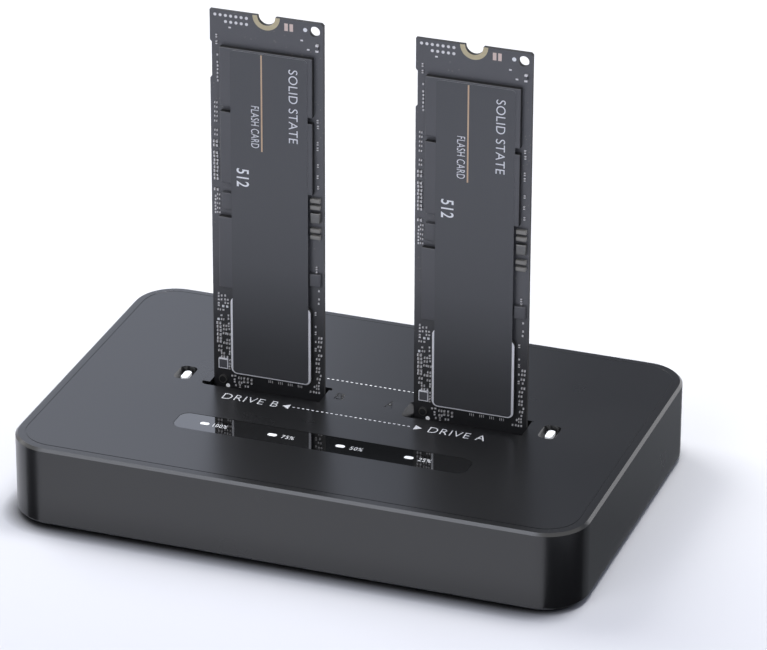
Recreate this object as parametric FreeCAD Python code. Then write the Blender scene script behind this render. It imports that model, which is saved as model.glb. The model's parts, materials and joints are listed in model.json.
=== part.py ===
import FreeCAD
import Part
import math
import os

from FreeCAD import Vector

# A two-bay duplicator for bare M.2 drive cards, with both cards plugged in upright.
# Millimetres. X runs along the housing, Y to the rear, Z up.
# The origin is under the middle of the housing, at the level that the feet stand on.

# Housing: a five-sided cover closed from below by a base plate.
housing_length = 110.5
housing_depth = 72.8
housing_height = 15.7  # from the rim of the cover to its top face
corner_radius = 8.25
top_bevel = 0.5
bottom_bevel = 0.7
border_width = 1.4  # shallow slope all round the top face, inside its bevel
border_drop = 0.08
wall = 2.0
top_thickness = 1.6

# Base plate: sits in a rebate inside the rim, and is held by clips that stand on it.
base_thickness = 1.6
base_recess = 0.2  # how far its underside lies inside the rim
rebate_width = 0.8
plate_gap = 0.15

# Clips: upright tongues with a hook that snaps into a pocket in the wall.
clip_length = 6.0
clip_thickness = 1.2
clip_height = 6.4  # above the base plate
clip_wall_gap = 0.15
clip_hook = 0.55  # how far the hook stands out
clip_hook_height = 1.8
clip_pocket_gap = 0.15  # round the hook, inside its pocket
front_clip_x = 30.0
rear_clip_x = 41.0

# Feet: round self-adhesive rubber pads under the base plate.
foot_standoff = 0.7  # from the floor to the rim
foot_radius = 4.5
foot_edge_land = 2.0  # plate left outside a foot

# Circuit board, hung from two posts under the top face and backed by ribs on the base plate.
board_thickness = 1.6
under_board = 2.8  # clear height between base plate and board
board_gap = 0.6
post_radius = 2.4
post_inset_x = 6.5
post_inset_y = 14.0
board_screw_radius = 0.95
board_hole_gap = 0.1  # between a screw and its hole in the board
board_screw_grip = 4.0
board_screw_head_radius = 1.9
board_screw_head_height = 1.1
screw_gap = 0.02  # between a plain shank and its pilot hole
pilot_depth_gap = 0.3  # from a screw's tip to the end of its pilot hole
board_corner_cut = 4.0
board_clip_gap = 0.5
support_rib_width = 1.2
support_rib_spread = 7.0  # from the middle of a bay to each rib under it

# Stiffening ribs under the top face.
rib_width = 1.0
rib_height = 1.2
rib_length = 84.0
front_rib_y = -9.5
rear_rib_y = 11.5

# Drive cards: 22 x 80 mm, with the edge connector downwards.
card_width = 22.0
card_length = 80.0
card_thickness = 0.8
tongue_width = 19.85
tongue_height = 4.0
key_width = 1.2
key_depth = 3.5
key_b_x = -5.625
key_m_x = 6.125
mount_notch_radius = 1.75
mount_ring_radius = 2.65
tool_hole_radius = 1.0
tool_hole_inset = 1.65
card_corner_cut = 0.4
edge_relief = 0.35  # depth of the long shallow step in a card's left edge
edge_relief_low = 66.6
edge_relief_high = 73.7
foil = 0.05  # plated copper above the board

# What is soldered to the front of a card. Across the card, places are from its left edge.
# Up the card, the packages are stacked from the lower edge with named gaps.
package_bevel = 0.12
package_height = 1.1
controller_left = 3.85
controller_width = 15.9
controller_low = 7.35
controller_length = 15.9
controller_corner = 1.2
buffer_left = 1.7
buffer_gap = 1.7  # above the controller
buffer_length = 14.4
level_shifter_left = 2.2
level_shifter_width = 2.1
level_shifter_gap = 1.4  # above the buffer
level_shifter_length = 3.4
memory_left = 2.2
memory_width = 18.0
memory_gap = 2.2  # above the level shifter
lower_memory_length = 14.2
memory_spacing = 1.2
memory_head_room = 6.7  # from the upper memory package to the top of the card
label_inset_left = 2.3  # from the sides of the memory packages
label_inset_right = 1.0
label_inset_low = 0.45  # from the lower edge of the controller
label_inset_high = 0.3  # from the top of the upper memory package
label_corner = 0.75
label_thickness = 0.1
sensor_gap = 0.95  # beside the controller
sensor_width = 1.8
sensor_length = 1.9
sensor_rise = 0.5  # from the controller's lower edge
sensor_height = 0.5

# The column of small parts along a card's right edge, from the lower memory package downwards.
column_inset = 0.45  # from the card's right edge
column_gap = 0.9  # to the side of the buffer
capacitor_width = 1.9
capacitor_length = 0.75
capacitor_height = 0.8
inductor_width = 1.85
inductor_length = 2.0
inductor_height = 1.0
regulator_width = 2.15
regulator_length = 2.5
regulator_height = 0.75
column_parts = (
    ("capacitor", 0.8),
    ("capacitor", 0.6),
    ("inductor", 0.7),
    ("capacitor", 1.2),
    ("capacitor", 0.6),
    ("regulator", 7.2),
)  # each part and the gap above it

# Gold fingers of the edge connector.
finger_pitch = 0.5
finger_width = 0.35
finger_height = 2.0
finger_inset = 0.55

# Card bays.
bay_spacing = 39.7
bay_center_x = 2.55
bay_y = 2.2
socket_length = 23.0
socket_width = 4.9
socket_recess = 1.5  # from the top face down to the mouth of a socket
socket_corner = 0.4
socket_floor_gap = 0.3  # under the edge of a seated card
socket_side_gap = 0.1
slot_gap_front = 1.2  # from a socket to the slot in the top face
slot_gap_rear = 0.38
slot_gap_left = 0.28
slot_gap_right = 0.15
slot_ramp_width = 0.75  # the left end of a slot slopes down to its upright wall
slot_ramp_depth = 1.0
slot_corner_left = 1.1
slot_corner_right = 0.5
shoulder_gap = 0.15  # from a card's shoulders to the mouth
tail_pitch = 1.0
tail_length = 1.1
tail_width = 0.4
tail_height = 0.2
tail_end_margin = 1.8

# Progress strip: a glossy lens let into the top face, with four pill-shaped lights.
strip_length = 57.2
strip_width = 6.2
strip_corner = 2.0
strip_y = -16.5
lens_thickness = 0.8
lens_sink = 0.05
lens_gap = 0.06
led_count = 4
led_pitch = 13.3
led_center_x = -3.05
pill_length = 1.8
pill_width = 1.0
pipe_gap = 0.05
pipe_flange = 0.6  # overhang and thickness of a light guide's flange
led_length = 1.6
led_width = 0.8
led_height = 0.7
led_air_gap = 0.3
shield_margin = 4.0
shield_width = 6.4
shield_well_length = 4.6
shield_well_width = 3.4
shield_gap = 0.1

# Status lights outside the bays, each at the bottom of a small pocket.
status_gap_a = 2.15  # from the slot of bay a to its pocket
status_gap_b = 2.57  # from the slot of bay b to its pocket
status_y = 2.15
status_pocket_length = 3.4
status_pocket_width = 5.4
status_pocket_depth = 1.1
status_pocket_corner = 1.2
status_pocket_shift = 0.3  # how far a pocket's middle lies in front of its light
status_ramp_width = 0.75  # both ends of a pocket slope down to its floor
status_tip_sink = 0.55  # from the top face down to the tip of a light
status_pill_length = 3.15
status_pill_width = 1.4

# Rear panel: a shallow recess with the ports, the switch and the button.
panel_length = 68.0
panel_height = 10.6
panel_depth = 0.9
panel_corner = 1.5
panel_center_z = 8.6

# USB-C receptacle.
usb_x = 6.0
usb_width = 8.94
usb_height = 3.26
usb_depth = 7.4
usb_sheet = 0.3
usb_corner = 1.2
usb_hole_gap = 0.3
tongue_plate_width = 6.7
tongue_plate_height = 0.7
tongue_plate_reach = 5.4
usb_block_depth = 1.5

# Power jack for a 5.5 mm barrel plug.
jack_x = 23.5
jack_width = 9.0
jack_body_height = 8.4
jack_depth = 11.5
jack_drop = 0.9  # how far the jack hangs below the board
jack_bore_radius = 3.0
jack_bore_depth = 9.5
jack_collar_radius = 3.7
jack_collar_gap = 0.15
jack_pin_radius = 1.0
jack_pin_short = 0.6  # from the pin's tip to the jack's mouth

# Power switch: a slider in a small metal case.
switch_x = -11.0
switch_length = 9.0
switch_case_depth = 3.9
switch_case_height = 4.4
switch_sheet = 0.5
switch_wall_gap = 0.25
switch_knob_length = 2.6
switch_knob_height = 1.8
switch_knob_inset = 0.25  # from the knob's end to the rear face of the housing
switch_groove = 0.25  # width and depth of the grip grooves across the knob
switch_travel = 2.5
switch_carriage_length = 3.6
switch_carriage_depth = 1.6
switch_carriage_height = 2.8
slide_gap = 0.3

# Clone button and the tactile switch behind it.
button_x = -26.0
button_radius = 2.3
button_inset = 0.2  # from the button's face to the rear face of the housing
button_edge = 0.35
button_gap = 0.3
button_flange = 0.7
button_flange_thickness = 0.8
button_rest_gap = 0.1
button_travel = 0.5
tactile_width = 6.0
tactile_depth = 3.6
tactile_above = 2.6  # from the plunger's axis to the top of the tactile switch
plunger_radius = 1.5
plunger_air = 1.6  # from the tactile switch to the back of the cap
plunger_depth = 1.4  # length kept inside the tactile switch
plunger_gap = 0.3

# Levels, from the floor up.
rim_z = foot_standoff
top_z = rim_z + housing_height
ceiling_z = top_z - top_thickness
base_bottom_z = rim_z + base_recess
base_top_z = base_bottom_z + base_thickness
clip_top_z = base_top_z + clip_height
board_bottom_z = base_top_z + under_board
board_top_z = board_bottom_z + board_thickness
mouth_z = top_z - socket_recess
card_bottom_z = mouth_z + shoulder_gap - tongue_height

lens_bottom_z = top_z - lens_sink - lens_thickness
pipe_foot_z = board_top_z + led_height + led_air_gap

# Half sizes in plan.
half_length = housing_length / 2
half_depth = housing_depth / 2
cavity_half_length = half_length - wall
cavity_half_depth = half_depth - wall
cavity_corner = corner_radius - wall
plate_half_length = cavity_half_length + rebate_width - plate_gap
plate_half_depth = cavity_half_depth + rebate_width - plate_gap
board_half_length = cavity_half_length - board_gap
board_half_depth = cavity_half_depth - board_gap
foot_x = plate_half_length - foot_edge_land - foot_radius
foot_y = plate_half_depth - foot_edge_land - foot_radius
post_x = board_half_length - post_inset_x
post_y = board_half_depth - post_inset_y

# A card's stack of packages, from its lower edge up, as pairs of low and high edges.
controller_span = (controller_low, controller_low + controller_length)
buffer_low = controller_span[1] + buffer_gap
buffer_span = (buffer_low, buffer_low + buffer_length)
level_shifter_low = buffer_span[1] + level_shifter_gap
level_shifter_span = (level_shifter_low, level_shifter_low + level_shifter_length)
lower_memory_low = level_shifter_span[1] + memory_gap
lower_memory_span = (lower_memory_low, lower_memory_low + lower_memory_length)
upper_memory_span = (lower_memory_span[1] + memory_spacing, card_length - memory_head_room)
buffer_right = card_width - column_inset - capacitor_width - column_gap

# Planes of the rear wall.
panel_face_y = half_depth - panel_depth
rear_inner_y = cavity_half_depth
card_front_y = bay_y - card_thickness / 2

bay_xs = {"a": bay_center_x + bay_spacing / 2, "b": bay_center_x - bay_spacing / 2}
slot_left = socket_length / 2 + slot_gap_left  # from the middle of a bay
slot_right = socket_length / 2 + slot_gap_right
status_xs = {
    "a": bay_xs["a"] + slot_right + status_gap_a + status_pocket_length / 2,
    "b": bay_xs["b"] - slot_left - slot_ramp_width - status_gap_b - status_pocket_length / 2,
}
led_xs = [led_center_x + led_pitch * (i - (led_count - 1) / 2) for i in range(led_count)]
four_ways = ((1, 1), (1, -1), (-1, 1), (-1, -1))
screw_corners = ((1, -1), (-1, 1))

pieces = {}


def block(x0, x1, y0, y1, z0, z1):
    return Part.makeBox(x1 - x0, y1 - y0, z1 - z0, Vector(x0, y0, z0))


def centred_block(x, y, length, width, z0, z1):
    return block(x - length / 2, x + length / 2, y - width / 2, y + width / 2, z0, z1)


def upright_edges(shape):
    found = []
    for edge in shape.Edges:
        low, high = edge.Vertexes[0].Point, edge.Vertexes[-1].Point
        if abs(low.x - high.x) < 1e-6 and abs(low.y - high.y) < 1e-6:
            found.append(edge)
    return found


def edges_at(shape, z):
    return [e for e in shape.Edges if abs(e.BoundBox.ZMin - z) < 1e-6 and abs(e.BoundBox.ZMax - z) < 1e-6]


def rounded_block(x, y, length, width, radius, z0, z1):
    solid = centred_block(x, y, length, width, z0, z1)
    return solid.makeFillet(radius, upright_edges(solid))


def pill(x, y, length, width, z0, z1):
    # A prism with two round ends, longer along X if length is the larger, else along Y.
    radius = min(length, width) / 2
    run_x = length / 2 - radius
    run_y = width / 2 - radius
    if run_x >= run_y:
        corners = ((-run_x, -radius), (run_x, -radius), (run_x, radius), (-run_x, radius))
        tips = ((run_x + radius, 0), (-run_x - radius, 0))
    else:
        corners = ((radius, -run_y), (radius, run_y), (-radius, run_y), (-radius, -run_y))
        tips = ((0, run_y + radius), (0, -run_y - radius))
    points = [Vector(x + px, y + py, z0) for px, py in corners]
    ends = [Vector(x + px, y + py, z0) for px, py in tips]
    wire = Part.Wire([
        Part.LineSegment(points[0], points[1]).toShape(),
        Part.Arc(points[1], ends[0], points[2]).toShape(),
        Part.LineSegment(points[2], points[3]).toShape(),
        Part.Arc(points[3], ends[1], points[0]).toShape(),
    ])
    return Part.Face(wire).extrude(Vector(0, 0, z1 - z0))


def post(x, y, radius, z0, z1):
    return Part.makeCylinder(radius, z1 - z0, Vector(x, y, z0))


def rod_y(x, z, radius, y0, y1):
    return Part.makeCylinder(radius, y1 - y0, Vector(x, y0, z), Vector(0, 1, 0))


def turned_to_rear(solid, x, z, front_y):
    # Turns a solid that was drawn flat so that its underside faces the rear at front_y.
    solid.rotate(Vector(0, 0, 0), Vector(1, 0, 0), 90)
    solid.translate(Vector(x, front_y, z))
    return solid


def rounded_block_y(x, z, length, height, radius, y0, y1):
    # A block whose edges along Y are rounded.
    return turned_to_rear(rounded_block(0, 0, length, height, radius, 0, y1 - y0), x, z, y1)


def export(name, shape):
    pieces[name] = shape
    shape.exportStep("parts/" + name + ".step")


def group(solids):
    return Part.makeCompound(list(solids))


# Dock: cover and base.

button_z = board_top_z + button_radius + button_flange + button_gap
switch_z = board_top_z + switch_case_height / 2
usb_z = board_top_z + usb_height / 2
jack_bottom_z = board_bottom_z - jack_drop
jack_z = jack_bottom_z + jack_body_height / 2
switch_slot_length = switch_knob_length + switch_travel + 2 * slide_gap
switch_slot_height = switch_knob_height + 2 * slide_gap


def top_outline(inset, z):
    # The housing's outline drawn in by an inset, as a closed wire.
    layer = rounded_block(0, 0, housing_length - 2 * inset, housing_depth - 2 * inset,
                          corner_radius - inset, z, z + top_thickness)
    return Part.Wire(Part.sortEdges(edges_at(layer, z))[0])


def cover_shell():
    border_z = top_z - border_drop
    shell = rounded_block(0, 0, housing_length, housing_depth, corner_radius, rim_z, border_z)
    shell = shell.makeChamfer(top_bevel, edges_at(shell, border_z))
    shell = shell.makeChamfer(bottom_bevel, edges_at(shell, rim_z))
    outlines = [top_outline(top_bevel, border_z), top_outline(top_bevel + border_width, top_z)]
    shell = shell.fuse(Part.makeLoft(outlines, True, True)).removeSplitter()
    cavity = rounded_block(0, 0, 2 * cavity_half_length, 2 * cavity_half_depth, cavity_corner,
                           rim_z, ceiling_z)
    rebate = rounded_block(
        0, 0,
        2 * (cavity_half_length + rebate_width), 2 * (cavity_half_depth + rebate_width),
        cavity_corner + rebate_width, rim_z, base_top_z,
    )
    return shell.cut(cavity.fuse(rebate))


def clip_places():
    # Each clip's middle against the cavity wall, and the way its hook points.
    places = []
    for side in (1, -1):
        places.append((side * front_clip_x, -cavity_half_depth, 0, -1))
        places.append((side * rear_clip_x, cavity_half_depth, 0, 1))
        places.append((side * cavity_half_length, 0, side, 0))
    return places


def clip_block(place, inward, outward, length, z0, z1):
    # A block that lies along the wall, between two distances inside and outside the cavity's face.
    x, y, out_x, out_y = place
    near_x, far_x = x - inward * out_x, x + outward * out_x
    near_y, far_y = y - inward * out_y, y + outward * out_y
    half_x = length / 2 * abs(out_y)
    half_y = length / 2 * abs(out_x)
    return block(min(near_x, far_x) - half_x, max(near_x, far_x) + half_x,
                 min(near_y, far_y) - half_y, max(near_y, far_y) + half_y, z0, z1)


def cover_supports():
    solids = []
    for sx, sy in screw_corners:
        solids.append(post(sx * post_x, sy * post_y, post_radius, board_top_z, ceiling_z))
    for y in (front_rib_y, rear_rib_y):
        solids.append(centred_block(0, y, rib_length, rib_width, ceiling_z - rib_height, ceiling_z))
    return solids


def cover_inner_cuts():
    cuts = []
    for sx, sy in screw_corners:
        cuts.append(post(sx * post_x, sy * post_y, board_screw_radius + screw_gap,
                         board_top_z, board_top_z + board_screw_grip + pilot_depth_gap))
    for place in clip_places():
        cuts.append(clip_block(place, 0, clip_hook + clip_pocket_gap, clip_length + 2 * clip_pocket_gap,
                               clip_top_z - clip_hook_height - clip_pocket_gap, clip_top_z + clip_pocket_gap))
    return cuts


def cross_prism(corners, y0, length):
    # A solid of the given section in X and Z, drawn out to the rear.
    points = [Vector(x, y0, z) for x, z in corners]
    return Part.Face(Part.makePolygon(points + points[:1])).extrude(Vector(0, length, 0))


def card_slot(x):
    # An opening with upright walls, and a ramp that leads down to its left end.
    width = socket_width + slot_gap_front + slot_gap_rear
    middle_y = bay_y + (slot_gap_rear - slot_gap_front) / 2
    middle_x = x + (slot_right - slot_left) / 2
    wall_x = x - slot_left
    inner_x = wall_x + slot_corner_right
    ramp_floor_z = top_z - slot_ramp_depth
    opening = rounded_block(middle_x, middle_y, slot_left + slot_right, width, slot_corner_right,
                            ceiling_z, top_z)
    corners = [(wall_x - slot_ramp_width, top_z), (inner_x, top_z), (inner_x, ramp_floor_z),
               (wall_x, ramp_floor_z)]
    ramp = cross_prism(corners, middle_y - width / 2, width)
    length = slot_ramp_width + slot_left + slot_right + slot_corner_left
    outline = rounded_block(wall_x - slot_ramp_width + length / 2, middle_y, length, width,
                            slot_corner_left, ceiling_z, top_z)
    return opening.fuse(ramp).common(outline)


def status_pocket(x):
    floor_z = top_z - status_pocket_depth
    middle_y = status_y - status_pocket_shift
    pocket = rounded_block(x, middle_y, status_pocket_length, status_pocket_width, status_pocket_corner,
                           floor_z, top_z)
    for side in (1, -1):
        end_x = x + side * status_pocket_length / 2
        corners = [(end_x, top_z), (end_x - side * status_ramp_width, floor_z), (end_x, floor_z)]
        pocket = pocket.cut(cross_prism(corners, middle_y - status_pocket_width / 2, status_pocket_width))
    return pocket


def cover_top_openings():
    cuts = [card_slot(x) for x in bay_xs.values()]
    for x in status_xs.values():
        cuts.append(status_pocket(x))
        cuts.append(pill(x, status_y, status_pill_width + 2 * pipe_gap, status_pill_length + 2 * pipe_gap,
                         ceiling_z, top_z))
    cuts.append(rounded_block(0, strip_y, strip_length, strip_width, strip_corner, lens_bottom_z, top_z))
    for x in led_xs:
        cuts.append(centred_block(x, strip_y, pill_length + 2 * pipe_gap, pill_width + 2 * pipe_gap,
                                  ceiling_z, lens_bottom_z))
    return cuts


def cover_rear_openings():
    outside_y = half_depth + wall
    return [
        rounded_block_y(0, panel_center_z, panel_length, panel_height, panel_corner, panel_face_y, outside_y),
        rounded_block_y(usb_x, usb_z, usb_width + 2 * usb_hole_gap, usb_height + 2 * usb_hole_gap,
                        usb_corner + usb_hole_gap, rear_inner_y - wall / 2, outside_y),
        rod_y(jack_x, jack_z, jack_collar_radius + jack_collar_gap, rear_inner_y - wall / 2, outside_y),
        block(switch_x - switch_slot_length / 2, switch_x + switch_slot_length / 2,
              rear_inner_y - wall / 2, outside_y,
              switch_z - switch_slot_height / 2, switch_z + switch_slot_height / 2),
        rod_y(button_x, button_z, button_radius + button_gap, rear_inner_y - wall / 2, outside_y),
    ]


def top_cover():
    cover = cover_shell().fuse(cover_supports())
    cuts = cover_inner_cuts() + cover_top_openings() + cover_rear_openings()
    return cover.cut(cuts).removeSplitter()


def base_clip(place):
    # The hook's upper face slopes, so that the clip rides over the rim as the plate is pushed home.
    tongue = clip_block(place, clip_wall_gap + clip_thickness, -clip_wall_gap, clip_length,
                        base_top_z, clip_top_z)
    hook = clip_block(place, clip_wall_gap, clip_hook, clip_length, clip_top_z - clip_hook_height, clip_top_z)
    x, y, out_x, out_y = place
    tip = [e for e in edges_at(hook, clip_top_z)
           if abs((e.CenterOfMass.x - x) * out_x + (e.CenterOfMass.y - y) * out_y - clip_hook) < 1e-6]
    return tongue.fuse(hook.makeChamfer(clip_hook, tip))


def base_plate():
    plate = rounded_block(0, 0, 2 * plate_half_length, 2 * plate_half_depth,
                          cavity_corner + rebate_width - plate_gap, base_bottom_z, base_top_z)
    ribs = [centred_block(x + side * support_rib_spread, bay_y, support_rib_width, socket_width,
                          base_top_z, board_bottom_z)
            for x in bay_xs.values() for side in (1, -1)]
    return plate.fuse([base_clip(place) for place in clip_places()] + ribs).removeSplitter()


def rubber_foot(sx, sy):
    return post(sx * foot_x, sy * foot_y, foot_radius, 0, base_bottom_z)


def board_screw(sx, sy):
    # A pan-head screw that points up, with a hexagon socket in its head.
    x, y = sx * post_x, sy * post_y
    head_z = board_bottom_z - board_screw_head_height
    head = post(x, y, board_screw_head_radius, head_z, board_bottom_z)
    shank = post(x, y, board_screw_radius, board_bottom_z, board_top_z + board_screw_grip)
    key_reach = board_screw_head_radius * 0.45
    key = Part.makePolygon([
        Vector(x + key_reach * math.cos(math.radians(60 * i)),
               y + key_reach * math.sin(math.radians(60 * i)), head_z)
        for i in range(7)
    ])
    socket = Part.Face(key).extrude(Vector(0, 0, board_screw_head_height * 0.55))
    return head.fuse(shank).cut(socket)


# Dock: circuit board and what is soldered to it.

def main_board():
    board = centred_block(0, 0, 2 * board_half_length, 2 * board_half_depth, board_bottom_z, board_top_z)
    board = board.makeChamfer(board_corner_cut, upright_edges(board))
    cuts = []
    for sx, sy in screw_corners:
        cuts.append(post(sx * post_x, sy * post_y, board_screw_radius + board_hole_gap,
                         board_bottom_z, board_top_z))
    for place in clip_places():
        cuts.append(clip_block(place, clip_wall_gap + clip_thickness + board_clip_gap, 0,
                               clip_length + 2 * board_clip_gap, board_bottom_z, board_top_z))
    cuts.append(block(jack_x - jack_width / 2 - board_gap, jack_x + jack_width / 2 + board_gap,
                      panel_face_y - jack_depth - board_gap, half_depth, board_bottom_z, board_top_z))
    return board.cut(cuts)


def card_socket(x):
    body = centred_block(x, bay_y, socket_length, socket_width, board_top_z, mouth_z)
    body = body.makeChamfer(socket_corner, upright_edges(body))
    channel_low = card_bottom_z - socket_floor_gap
    channel = centred_block(x, bay_y, tongue_width + 2 * socket_side_gap,
                            card_thickness + 2 * socket_side_gap, channel_low, mouth_z)
    key_top = card_bottom_z + key_depth - key_width / 2 - socket_side_gap
    key = centred_block(x + key_m_x, bay_y, key_width - 2 * socket_side_gap, socket_width / 2,
                        channel_low, key_top)
    return body.cut(channel.cut(key))


def socket_contacts(x):
    # The solder tails of the contacts, in one row along each side of the socket.
    count = int((socket_length - 2 * tail_end_margin) / tail_pitch)
    row_offset = (socket_width + tail_length) / 2
    tails = []
    for i in range(count):
        tail_x = x + tail_pitch * (i - (count - 1) / 2)
        for row_y in (bay_y - row_offset, bay_y + row_offset):
            tails.append(centred_block(tail_x, row_y, tail_width, tail_length,
                                       board_top_z, board_top_z + tail_height))
    return group(tails)


def light_stem(x, y, length, width, shoulder_z, tip_z):
    # A light guide's stem: square in section up to its shoulder, with a pill-shaped tip above.
    stem = centred_block(x, y, length, width, pipe_foot_z, shoulder_z)
    return stem.fuse(pill(x, y, length, width, shoulder_z, tip_z))


def progress_light_pipes():
    # One clear moulding: four stems on a common bar that bears on the underside of the top face.
    bar = centred_block(led_center_x, strip_y, led_xs[-1] - led_xs[0] + pill_length + 2 * pipe_flange,
                        pill_width + 2 * pipe_flange, ceiling_z - pipe_flange, ceiling_z)
    stems = [light_stem(x, strip_y, pill_length, pill_width, lens_bottom_z, top_z - lens_sink)
             for x in led_xs]
    return bar.fuse(stems).removeSplitter()


def status_light(x):
    flange = centred_block(x, status_y, status_pill_width + 2 * pipe_flange,
                           status_pill_length + 2 * pipe_flange, ceiling_z - pipe_flange, ceiling_z)
    stem = light_stem(x, status_y, status_pill_width, status_pill_length, ceiling_z,
                      top_z - status_tip_sink)
    return flange.fuse(stem).removeSplitter()


def progress_lens():
    lens = rounded_block(0, strip_y, strip_length - 2 * lens_gap, strip_width - 2 * lens_gap,
                         strip_corner - lens_gap, lens_bottom_z, top_z - lens_sink)
    holes = [pill(x, strip_y, pill_length + 2 * pipe_gap, pill_width + 2 * pipe_gap, ceiling_z, top_z)
             for x in led_xs]
    return lens.cut(holes)


def led(x, y, length, width):
    return centred_block(x, y, length, width, board_top_z, board_top_z + led_height)


def light_shield():
    length = led_xs[-1] - led_xs[0] + 2 * shield_margin
    shield_top_z = ceiling_z - pipe_flange - shield_gap
    bar = centred_block(led_center_x, strip_y, length, shield_width, board_top_z, shield_top_z)
    wells = [centred_block(x, strip_y, shield_well_length, shield_well_width, board_top_z, ceiling_z)
             for x in led_xs]
    return bar.cut(wells)


# Dock: rear ports and controls.

def usb_c_shell():
    y0 = panel_face_y - usb_depth
    outer = rounded_block_y(usb_x, usb_z, usb_width, usb_height, usb_corner, y0, panel_face_y)
    inner = rounded_block_y(usb_x, usb_z, usb_width - 2 * usb_sheet, usb_height - 2 * usb_sheet,
                            usb_corner - usb_sheet, y0, panel_face_y)
    return outer.cut(inner)


def usb_c_tongue():
    y0 = panel_face_y - usb_depth
    width = usb_width - 2 * usb_sheet - 2 * pipe_gap
    height = usb_height - 2 * usb_sheet - 2 * pipe_gap
    block_piece = centred_block(0, 0, width, height, 0, usb_block_depth)
    block_piece = block_piece.makeChamfer(usb_corner - usb_sheet, upright_edges(block_piece))
    block_piece = turned_to_rear(block_piece, usb_x, usb_z, y0 + usb_block_depth)
    plate = block(usb_x - tongue_plate_width / 2, usb_x + tongue_plate_width / 2,
                  y0 + usb_block_depth, y0 + usb_block_depth + tongue_plate_reach,
                  usb_z - tongue_plate_height / 2, usb_z + tongue_plate_height / 2)
    return block_piece.fuse(plate)


def dc_jack():
    collar_y = rear_inner_y - board_gap
    body = block(jack_x - jack_width / 2, jack_x + jack_width / 2, panel_face_y - jack_depth, collar_y,
                 jack_bottom_z, jack_bottom_z + jack_body_height)
    collar = rod_y(jack_x, jack_z, jack_collar_radius, collar_y, panel_face_y)
    bore = rod_y(jack_x, jack_z, jack_bore_radius, panel_face_y - jack_bore_depth, panel_face_y)
    return body.fuse(collar).cut(bore)


def dc_jack_pin():
    tip_y = panel_face_y - jack_pin_short
    pin = rod_y(jack_x, jack_z, jack_pin_radius, panel_face_y - jack_bore_depth, tip_y)
    tip = [e for e in pin.Edges if abs(e.BoundBox.YMin - tip_y) < 1e-6]
    return pin.makeChamfer(jack_pin_radius / 3, tip)


def power_switch_case():
    y1 = rear_inner_y - switch_wall_gap
    y0 = y1 - switch_case_depth
    case = block(switch_x - switch_length / 2, switch_x + switch_length / 2, y0, y1,
                 board_top_z, board_top_z + switch_case_height)
    hollow = block(switch_x - switch_length / 2 + switch_sheet, switch_x + switch_length / 2 - switch_sheet,
                   y0 + switch_sheet, y1 - switch_sheet,
                   board_top_z + switch_sheet, board_top_z + switch_case_height - switch_sheet)
    window = block(switch_x - switch_slot_length / 2, switch_x + switch_slot_length / 2,
                   y1 - switch_sheet, y1,
                   switch_z - switch_slot_height / 2, switch_z + switch_slot_height / 2)
    return case.cut(hollow.fuse(window))


def power_switch_slider():
    # At rest the knob is at the left end of its slot, seen from the front: the switch is off.
    x = switch_x - switch_travel / 2
    case_front_y = rear_inner_y - switch_wall_gap - switch_sheet
    carriage = block(x - switch_carriage_length / 2, x + switch_carriage_length / 2,
                     case_front_y - slide_gap - switch_carriage_depth, case_front_y - slide_gap,
                     switch_z - switch_carriage_height / 2, switch_z + switch_carriage_height / 2)
    knob = block(x - switch_knob_length / 2, x + switch_knob_length / 2,
                 case_front_y - slide_gap, half_depth - switch_knob_inset,
                 switch_z - switch_knob_height / 2, switch_z + switch_knob_height / 2)
    grooves = []
    for i in (-1, 0, 1):
        groove_x = x + i * switch_knob_length / 4
        grooves.append(block(groove_x - switch_groove / 2, groove_x + switch_groove / 2,
                             half_depth - switch_knob_inset - switch_groove, half_depth,
                             switch_z - switch_knob_height / 2, switch_z + switch_knob_height / 2))
    return carriage.fuse(knob).cut(grooves)


cap_flange_y = rear_inner_y - button_rest_gap
cap_back_y = cap_flange_y - button_flange_thickness
tactile_front_y = cap_back_y - plunger_air


def clone_button_cap():
    face_y = half_depth - button_inset
    stem = rod_y(button_x, button_z, button_radius, cap_flange_y, face_y)
    rim = [e for e in stem.Edges if abs(e.BoundBox.YMin - face_y) < 1e-6]
    stem = stem.makeChamfer(button_edge, rim)
    flange = rod_y(button_x, button_z, button_radius + button_flange, cap_back_y, cap_flange_y)
    return stem.fuse(flange)


def clone_switch_plunger():
    return rod_y(button_x, button_z, plunger_radius, tactile_front_y - plunger_depth, cap_back_y)


def clone_switch_body():
    body = block(button_x - tactile_width / 2, button_x + tactile_width / 2,
                 tactile_front_y - tactile_depth, tactile_front_y, board_top_z, button_z + tactile_above)
    bore = rod_y(button_x, button_z, plunger_radius + plunger_gap,
                 tactile_front_y - plunger_depth - button_travel - plunger_gap, tactile_front_y)
    return body.cut(bore)


# Dock: chips, inductors and capacitors on the board.
# Places are from the middle of the board, and the rear row is tied to the board's rear edge.

bridge_chip_size = 8.0
bridge_chip_height = 0.9
bridge_chip_y = 15.5
clone_chip_size = 10.0
clone_chip_height = 1.2
clone_chip_x = 2.35
clone_chip_y = 14.5
flash_chip_length = 5.2
flash_chip_width = 4.0
flash_chip_height = 1.6
flash_chip_y = 3.0
crystal_length = 3.2
crystal_width = 2.5
crystal_height = 0.8
crystal_offset = 7.5
power_coil_size = 6.0
power_coil_height = 3.0
power_coil_corner = 1.2
power_coil_inset = 14.5
power_coil_spacing = 3.0
regulator_chip_size = 4.0
regulator_chip_height = 1.0
regulator_rear_gap = 2.8  # to the rear edge of the board
regulator_coil_gap = 4.0
bulk_capacitor_radius = 3.1
bulk_capacitor_height = 5.4
bulk_capacitor_base = 0.9
bulk_capacitor_inset = 7.5
bulk_capacitor_y = 5.5
bulk_capacitor_pitch = 8.0
chip_capacitor_length = 1.6
chip_capacitor_width = 0.8
chip_capacitor_height = 0.8
chip_capacitor_pitch = 2.4
chip_capacitor_row_y = -4.3
chip_capacitors_per_bay = 8
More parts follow.
